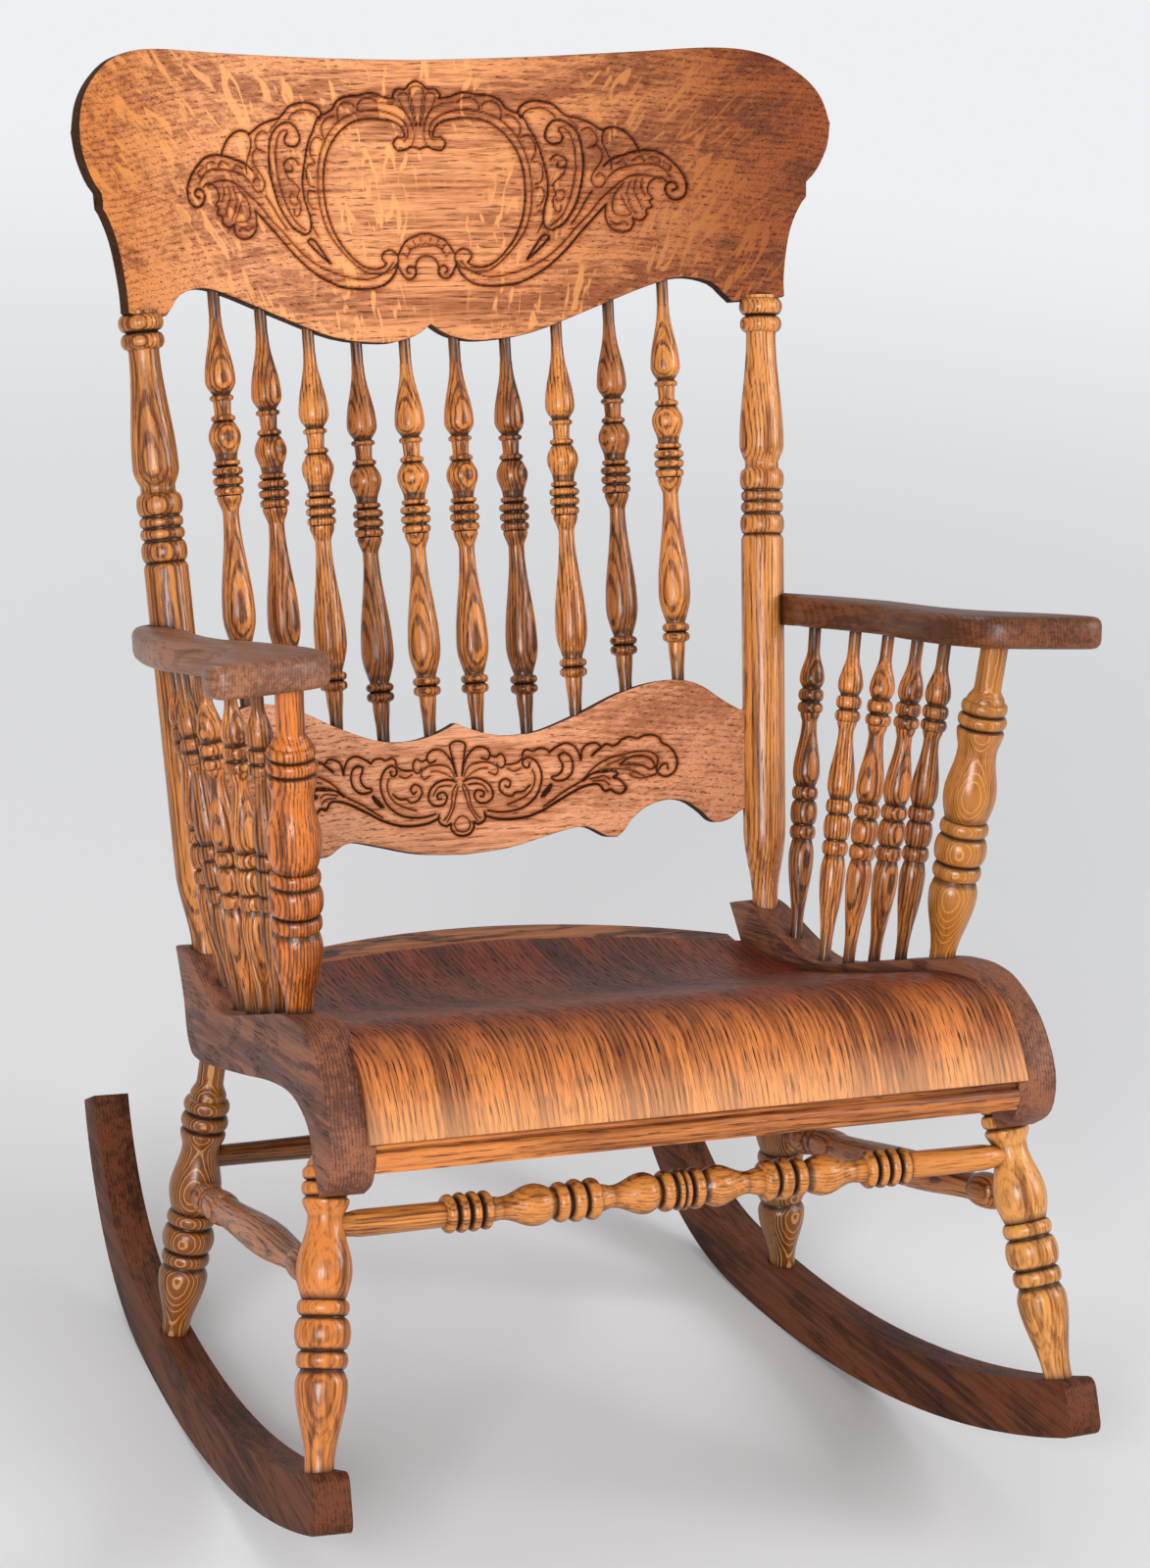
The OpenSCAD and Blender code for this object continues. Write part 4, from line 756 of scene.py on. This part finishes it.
for side, sign in SIDES:
    turned("arm_post_" + side, arm_post_rows, on_side(arm_post_foot, sign), on_side(arm_post_head, sign),
           arm_post_pins, sides=48, **arm_post_wood[side])
    for i, stick in enumerate(arm_spindles[side]):
        foot, head = arm_spindle_ends[i]
        turned("arm_spindle_%s_%d" % (side, i + 1), arm_spindle_rows, on_side(foot, sign),
               on_side(head, sign), arm_spindle_pins, *spindle_tones[stick], sides=32, pores=1.1,
               facing=(61 * i + 30) % 180 - 116)

# Seat panel: one sheet of bent oak veneer, let into the side rails, hollowed towards the back and
# rolled down over the front. Its grain runs from back to front. Its line gives depth and height
# from the middle of the seat, and its rear edge follows the bow of the rear rail.
seat = standing @ Matrix.Translation((0, 0, 394))
panel_line = smooth_run([(204, -23), (186, -28), (147, -39), (115, -45.3), (83, -48.5), (52, -49), (6, -43),
                         (-69, -30.4), (-120, -21), (-156, -15), (-191, -13.7), (-212, -16.5), (-233, -25.6),
                         (-247, -40.5), (-259, -61), (-266, -79)], 6)
PANEL_T = 7
SHEET_ROWS = 120
SHEET_COLUMNS = 60
LINE_POINTS = 240
LINE_STEP = 0.0023
# The bow of the rear edge, and the two side rails, further apart in front, with their grooves.
BOW_R = 714
BOW_MIDDLE = -673.5
BOW_SHARE = 0.963
BOW_ENDS = 147
BOW_HALF_WIDTH = 240
RAIL_MIDDLE = 268
HALF_RAIL = 17.5
GROOVE = 5.8
RAIL_SPLAY = math.radians(5)
line = evenly(panel_line, LINE_POINTS)
bpy.ops.object.select_all(action="DESELECT")
bpy.ops.mesh.primitive_grid_add(x_subdivisions=SHEET_COLUMNS, y_subdivisions=SHEET_ROWS, size=1)
panel = bpy.context.object
lay = panel.data.attributes.new("lay", "FLOAT_VECTOR", "POINT")
for vertex in panel.data.vertices:
    across, along = vertex.co.x * 2, vertex.co.y + 0.5
    bow = math.sqrt(BOW_R ** 2 - (across * BOW_HALF_WIDTH) ** 2)
    rear = BOW_ENDS + (BOW_MIDDLE + bow) * BOW_SHARE
    start = next(i for i, p in enumerate(line) if p[0] <= rear)
    spot = start + (len(line) - 1 - start) * along
    i = min(int(spot), len(line) - 2)
    y, z = (a + (b - a) * (spot - i) for a, b in zip(line[i], line[i + 1]))
    half = RAIL_MIDDLE - HALF_RAIL - y * math.tan(RAIL_SPLAY) + GROOVE
    vertex.co = seat @ Vector((across * half, y, z))
    lay.data[vertex.index].vector = (across * half / 1000, 0, spot * LINE_STEP)
thick = panel.modifiers.new("veneer", "SOLIDIFY")
thick.thickness, thick.offset = PANEL_T / 1000, -1
only(panel)
bpy.ops.object.modifier_apply(modifier=thick.name)
panel_finish = oak_finish("seat veneer", "de853f", "7d3f19", pores=1.8, dirt_and_shade=0.5, rings=0.5, gloss=0.42,
                          coat=0.03, lay="lay")
# Painted shade over the hollow and the crown, and a painted highlight at the foot of the roll.
veneer = panel_finish.node_tree
run = add(veneer, "SeparateXYZ", {0: attribute(veneer, "lay", "Vector")}).outputs["Z"]
overlaid(panel_finish, ramp(veneer, run, 0.41, 0.54, 1, 0), "a07452", "MULTIPLY")
overlaid(panel_finish, ramp(veneer, run, 0.5, 0.55, 0, 0.28), "f6bc86")
settle(panel, "seat_panel_bent", "seat_panel", panel_finish, 40)

# Seat rails: two sawn side rails with a horn behind and a hook in front, the bowed rear rail, and
# the moulded strip under the roll of the seat. The grain runs with each piece.
for side, sign in SIDES:
    finish = oak_finish("side rail oak " + side, "8f573a", "5a3326", at=(0.26 * sign, -0.1, 0.36),
                        turn=(math.radians(-102.6), 0, math.radians(5 * sign)), pores=0.8, dirt_and_shade=0.6,
                        gloss=0.55, coat=0.02, rings=0.7, close=120)
    settle(from_frame("seat_side_" + side, 0.0012), "seat_side_" + side + "_sawn", "seat_side_" + side,
           finish, 35)
cross_rail = {"turn": ACROSS, "pores": 0.9, "gloss": 0.4, "mirror": 0.25}
settle(from_frame("seat_rear_rail", 0.001), "seat_rear_rail_bowed", "seat_rear_rail",
       oak_finish("rear rail oak", "b26a33", "4c250e", dirt_and_shade=0.7, rings=0.8, close=90, **cross_rail), 35)
settle(from_frame("seat_front_rail", 0.0006), "seat_front_rail_moulded", "seat_front_rail",
       oak_finish("front strip oak", "cc7d40", "7a401d", dirt_and_shade=0.25, **cross_rail), 35)

# Legs and stretchers: turned oak. The legs stand in the rockers and run up into the side rails. The
# stretchers' ends sit in the legs and stop a little short, so their pins count backwards.
front_leg_rows = [
    ("line", 0, 0.02, 22.5, 22.5), ("sweep", 0.02, 0.25, 22.5, 40.4), ("swell", 0.25, 0.292, 40.4, 33),
    ("bead", 0.295, 0.346, 32.5, 39.8), ("bead", 0.35, 0.441, 33, 43), ("bead", 0.445, 0.492, 32.5, 40),
    ("swell", 0.495, 0.572, 34, 43), ("sweep", 0.572, 0.725, 43, 27.5), ("sweep", 0.725, 0.772, 27.5, 36),
    ("swell", 0.772, 0.783, 36, 32), ("bead", 0.787, 0.828, 31, 37.8), ("bead", 0.831, 0.87, 30, 37),
    ("sweep", 0.873, 0.91, 30.1, 22), ("line", 0.91, 1, 22, 22)]
rear_leg_rows = [
    ("line", 0, 0.02, 22.5, 22.5), ("sweep", 0.02, 0.21, 22.5, 40.4), ("swell", 0.21, 0.246, 40.4, 33),
    ("bead", 0.249, 0.297, 32.5, 39.8), ("bead", 0.301, 0.386, 33, 43), ("bead", 0.39, 0.437, 32.5, 40),
    ("swell", 0.44, 0.52, 34, 43), ("sweep", 0.52, 0.665, 43, 31), ("sweep", 0.665, 0.72, 31, 37.5),
    ("swell", 0.72, 0.73, 37.5, 32), ("bead", 0.734, 0.785, 31, 39), ("bead", 0.789, 0.84, 30, 38),
    ("sweep", 0.85, 0.9, 30.1, 22), ("line", 0.9, 1, 22, 22)]
side_stretcher_rows = [
    ("line", 0, 0.08, 18, 18), ("bead", 0.085, 0.15, 18, 27.9), ("bead", 0.155, 0.178, 21.7, 25.4),
    ("bead", 0.182, 0.262, 24.2, 28.5), ("sweep", 0.265, 0.58, 24.2, 31), ("sweep", 0.58, 0.825, 31, 22.3),
    ("bead", 0.83, 0.915, 22.3, 29.5), ("line", 0.92, 1, 18, 18)]
half_front = [
    ("line", 0, 0.025, 18, 18), ("sweep", 0.025, 0.05, 18, 21.1), ("line", 0.05, 0.155, 21.1, 21.8),
    ("bead", 0.162, 0.177, 20, 30.2), ("bead", 0.179, 0.194, 20, 31.3), ("bead", 0.196, 0.211, 20, 31.3),
    ("bead", 0.213, 0.228, 20, 30.4), ("sweep", 0.23, 0.243, 19.5, 18), ("sweep", 0.243, 0.29, 18, 33),
    ("swell", 0.29, 0.314, 33, 24), ("bead", 0.318, 0.336, 22.5, 31.5), ("bead", 0.339, 0.359, 22.5, 33.5),
    ("bead", 0.362, 0.382, 22.5, 33), ("sweep", 0.385, 0.402, 21.5, 17.8), ("sweep", 0.402, 0.447, 17.8, 33),
    ("swell", 0.447, 0.466, 33, 24), ("bead", 0.469, 0.487, 22.5, 33), ("bead", 0.49, 0.5, 23.5, 32.6)]


def other_half(rows):
    """The rows of the second half of a turning that is the same from both ends."""
    return [(shape, 1 - end, 1 - start, *((a, b) if shape == "bead" else (b, a)))
            for shape, start, end, a, b in reversed(rows)]


front_stretcher_rows = half_front + other_half(half_front)
rear_stretcher_rows = [("line", 0, 0.045, 18, 18), ("sweep", 0.045, 0.45, 18, 24),
                       ("sweep", 0.55, 0.955, 24, 18), ("line", 0.955, 1, 18, 18)]
front_leg_foot, front_leg_head = (317.9, -401.1, 133.6), (285.6, -287.2, 369.8)
rear_leg_foot, rear_leg_head = (281.1, 9.7, 44.6), (257.2, 27.2, 287.9)
side_stretcher_rear, side_stretcher_front = (268.9, 18.7, 168.9), (299.9, -337.6, 265.3)
front_stretcher_end, rear_stretcher_end = (295.3, -321.6, 298.6), (266.1, 20.7, 197.1)
leg_pins = (10, 10)
stretcher_pins = (-3, -3)
front_leg_wood = {"left": {"light": "cb7834", "deep": "66330f", "facing": 70},
                  "right": {"light": "d9944a", "deep": "80491b", "facing": 30}}
rear_leg_facing = {"left": -116, "right": -70}
for side, sign in SIDES:
    turned("front_leg_" + side, front_leg_rows, on_side(front_leg_foot, sign), on_side(front_leg_head, sign),
           leg_pins, sides=48, pores=0.45, rings=0.35, **front_leg_wood[side])
    turned("rear_leg_" + side, rear_leg_rows, on_side(rear_leg_foot, sign), on_side(rear_leg_head, sign),
           leg_pins, "824719", "422208", sides=48, pores=0.5, facing=rear_leg_facing[side], rings=0,
           close=160, pale_rings=True)
    turned("side_stretcher_" + side, side_stretcher_rows, on_side(side_stretcher_rear, sign),
           on_side(side_stretcher_front, sign), stretcher_pins, "b0682f", "582d10", sides=40)
turned("front_stretcher", front_stretcher_rows, on_side(front_stretcher_end, -1), front_stretcher_end,
       stretcher_pins, "d0853f", "613010", sides=44, pores=0.6, rings=0.5)
turned("rear_stretcher", rear_stretcher_rows, on_side(rear_stretcher_end, -1), rear_stretcher_end,
       stretcher_pins, "754420", "3f2210", sides=40)

# Rockers: sawn from thick oak boards, with a long foot arc and an upturned tail, bored from above
# for the legs.
for side, sign in SIDES:
    finish = oak_finish("rocker oak " + side, "66361c", "341809", at=(0.29 * sign, -0.1, 0.05),
                        turn=(math.radians(-90), 0, math.radians(5 * sign)), pores=0.6, dirt_and_shade=0.4,
                        gloss=0.6, coat=0, mirror=0.2, rings=0.4, close=100)
    settle(from_frame("rocker_" + side, 0.0035, 3), "rocker_" + side + "_sawn", "rocker_" + side,
           finish, 35)

# The plain pale floor with the backdrop, the soft lamps, and the camera at the photograph's place.
# Away from the chair the floor goes over into the backdrop.
FLOOR_WIDE = 60
BACKDROP = tone("eef0f3")
bpy.ops.object.select_all(action="DESELECT")
bpy.ops.mesh.primitive_plane_add(size=1, location=(0, 0, -0.0005))
floor = bpy.context.object
floor.name = "studio_floor"
floor.scale = (FLOOR_WIDE, FLOOR_WIDE, 1)
bpy.ops.object.transform_apply(location=True, rotation=False, scale=True)
bare = bpy.data.materials.new("pale floor")
bare.use_nodes = True
tree = bare.node_tree
matt = tree.nodes["Principled BSDF"]
matt.inputs["Base Color"].default_value = tone("e0e1e3")
matt.inputs["Roughness"].default_value = 0.85
far = add(tree, "VectorMath", {0: add(tree, "TexCoord").outputs["Object"]}, operation="LENGTH")
seen = add(tree, "LightPath").outputs["Is Camera Ray"]
faded = worked(tree, "MULTIPLY", ramp(tree, far.outputs["Value"], 1.0, 4.5), seen)
backdrop = add(tree, "Emission", {"Color": BACKDROP, "Strength": 1.0})
mixed = add(tree, "MixShader", {0: faded, 1: matt.outputs[0], 2: backdrop.outputs[0]})
tree.links.new(mixed.outputs[0], tree.nodes["Material Output"].inputs["Surface"])
floor.data.materials.append(bare)

world = bpy.data.worlds.new("studio")
bpy.context.scene.world = world
world.use_nodes = True
tree = world.node_tree
tree.nodes.clear()
seen = add(tree, "LightPath").outputs["Is Camera Ray"]
glow = add(tree, "Background", {"Color": (1, 1, 1, 1), "Strength": 0.5})
wall = add(tree, "Background", {"Color": BACKDROP, "Strength": 1.0})
mixed = add(tree, "MixShader", {0: seen, 1: glow.outputs[0], 2: wall.outputs[0]})
tree.links.new(mixed.outputs[0], add(tree, "OutputWorld").inputs["Surface"])

LAMPS_AIM = Vector((0, 0, 0.5))
for name, place, size, power in (("key lamp", (-2.4, -3.3, 1.7), 1.3, 128),
                                 ("window lamp", (3.0, -2.0, 2.2), 1.6, 70),
                                 ("back lamp", (-0.6, 2.6, 3.0), 1.6, 28)):
    lamp = bpy.data.lights.new(name, "AREA")
    lamp.size, lamp.energy = size, power
    stand = bpy.data.objects.new(name, lamp)
    stand.location = place
    stand.rotation_mode = "QUATERNION"
    stand.rotation_quaternion = (LAMPS_AIM - Vector(place)).to_track_quat("-Z", "Y")
    bpy.context.scene.collection.objects.link(stand)

view = bpy.data.cameras.new("photograph")
view.lens = 114.87
view.sensor_width = 36
camera = bpy.data.objects.new("photograph", view)
camera.matrix_world = Matrix(((0.9112, 0.06215, -0.40724, -1.6392), (-0.40195, 0.35068, -0.84584, -3.4706),
                              (0.09025, 0.93443, 0.34452, 1.9269), (0, 0, 0, 1)))
bpy.context.scene.collection.objects.link(camera)
bpy.context.scene.camera = camera
bpy.context.scene.view_settings.view_transform = "Standard"
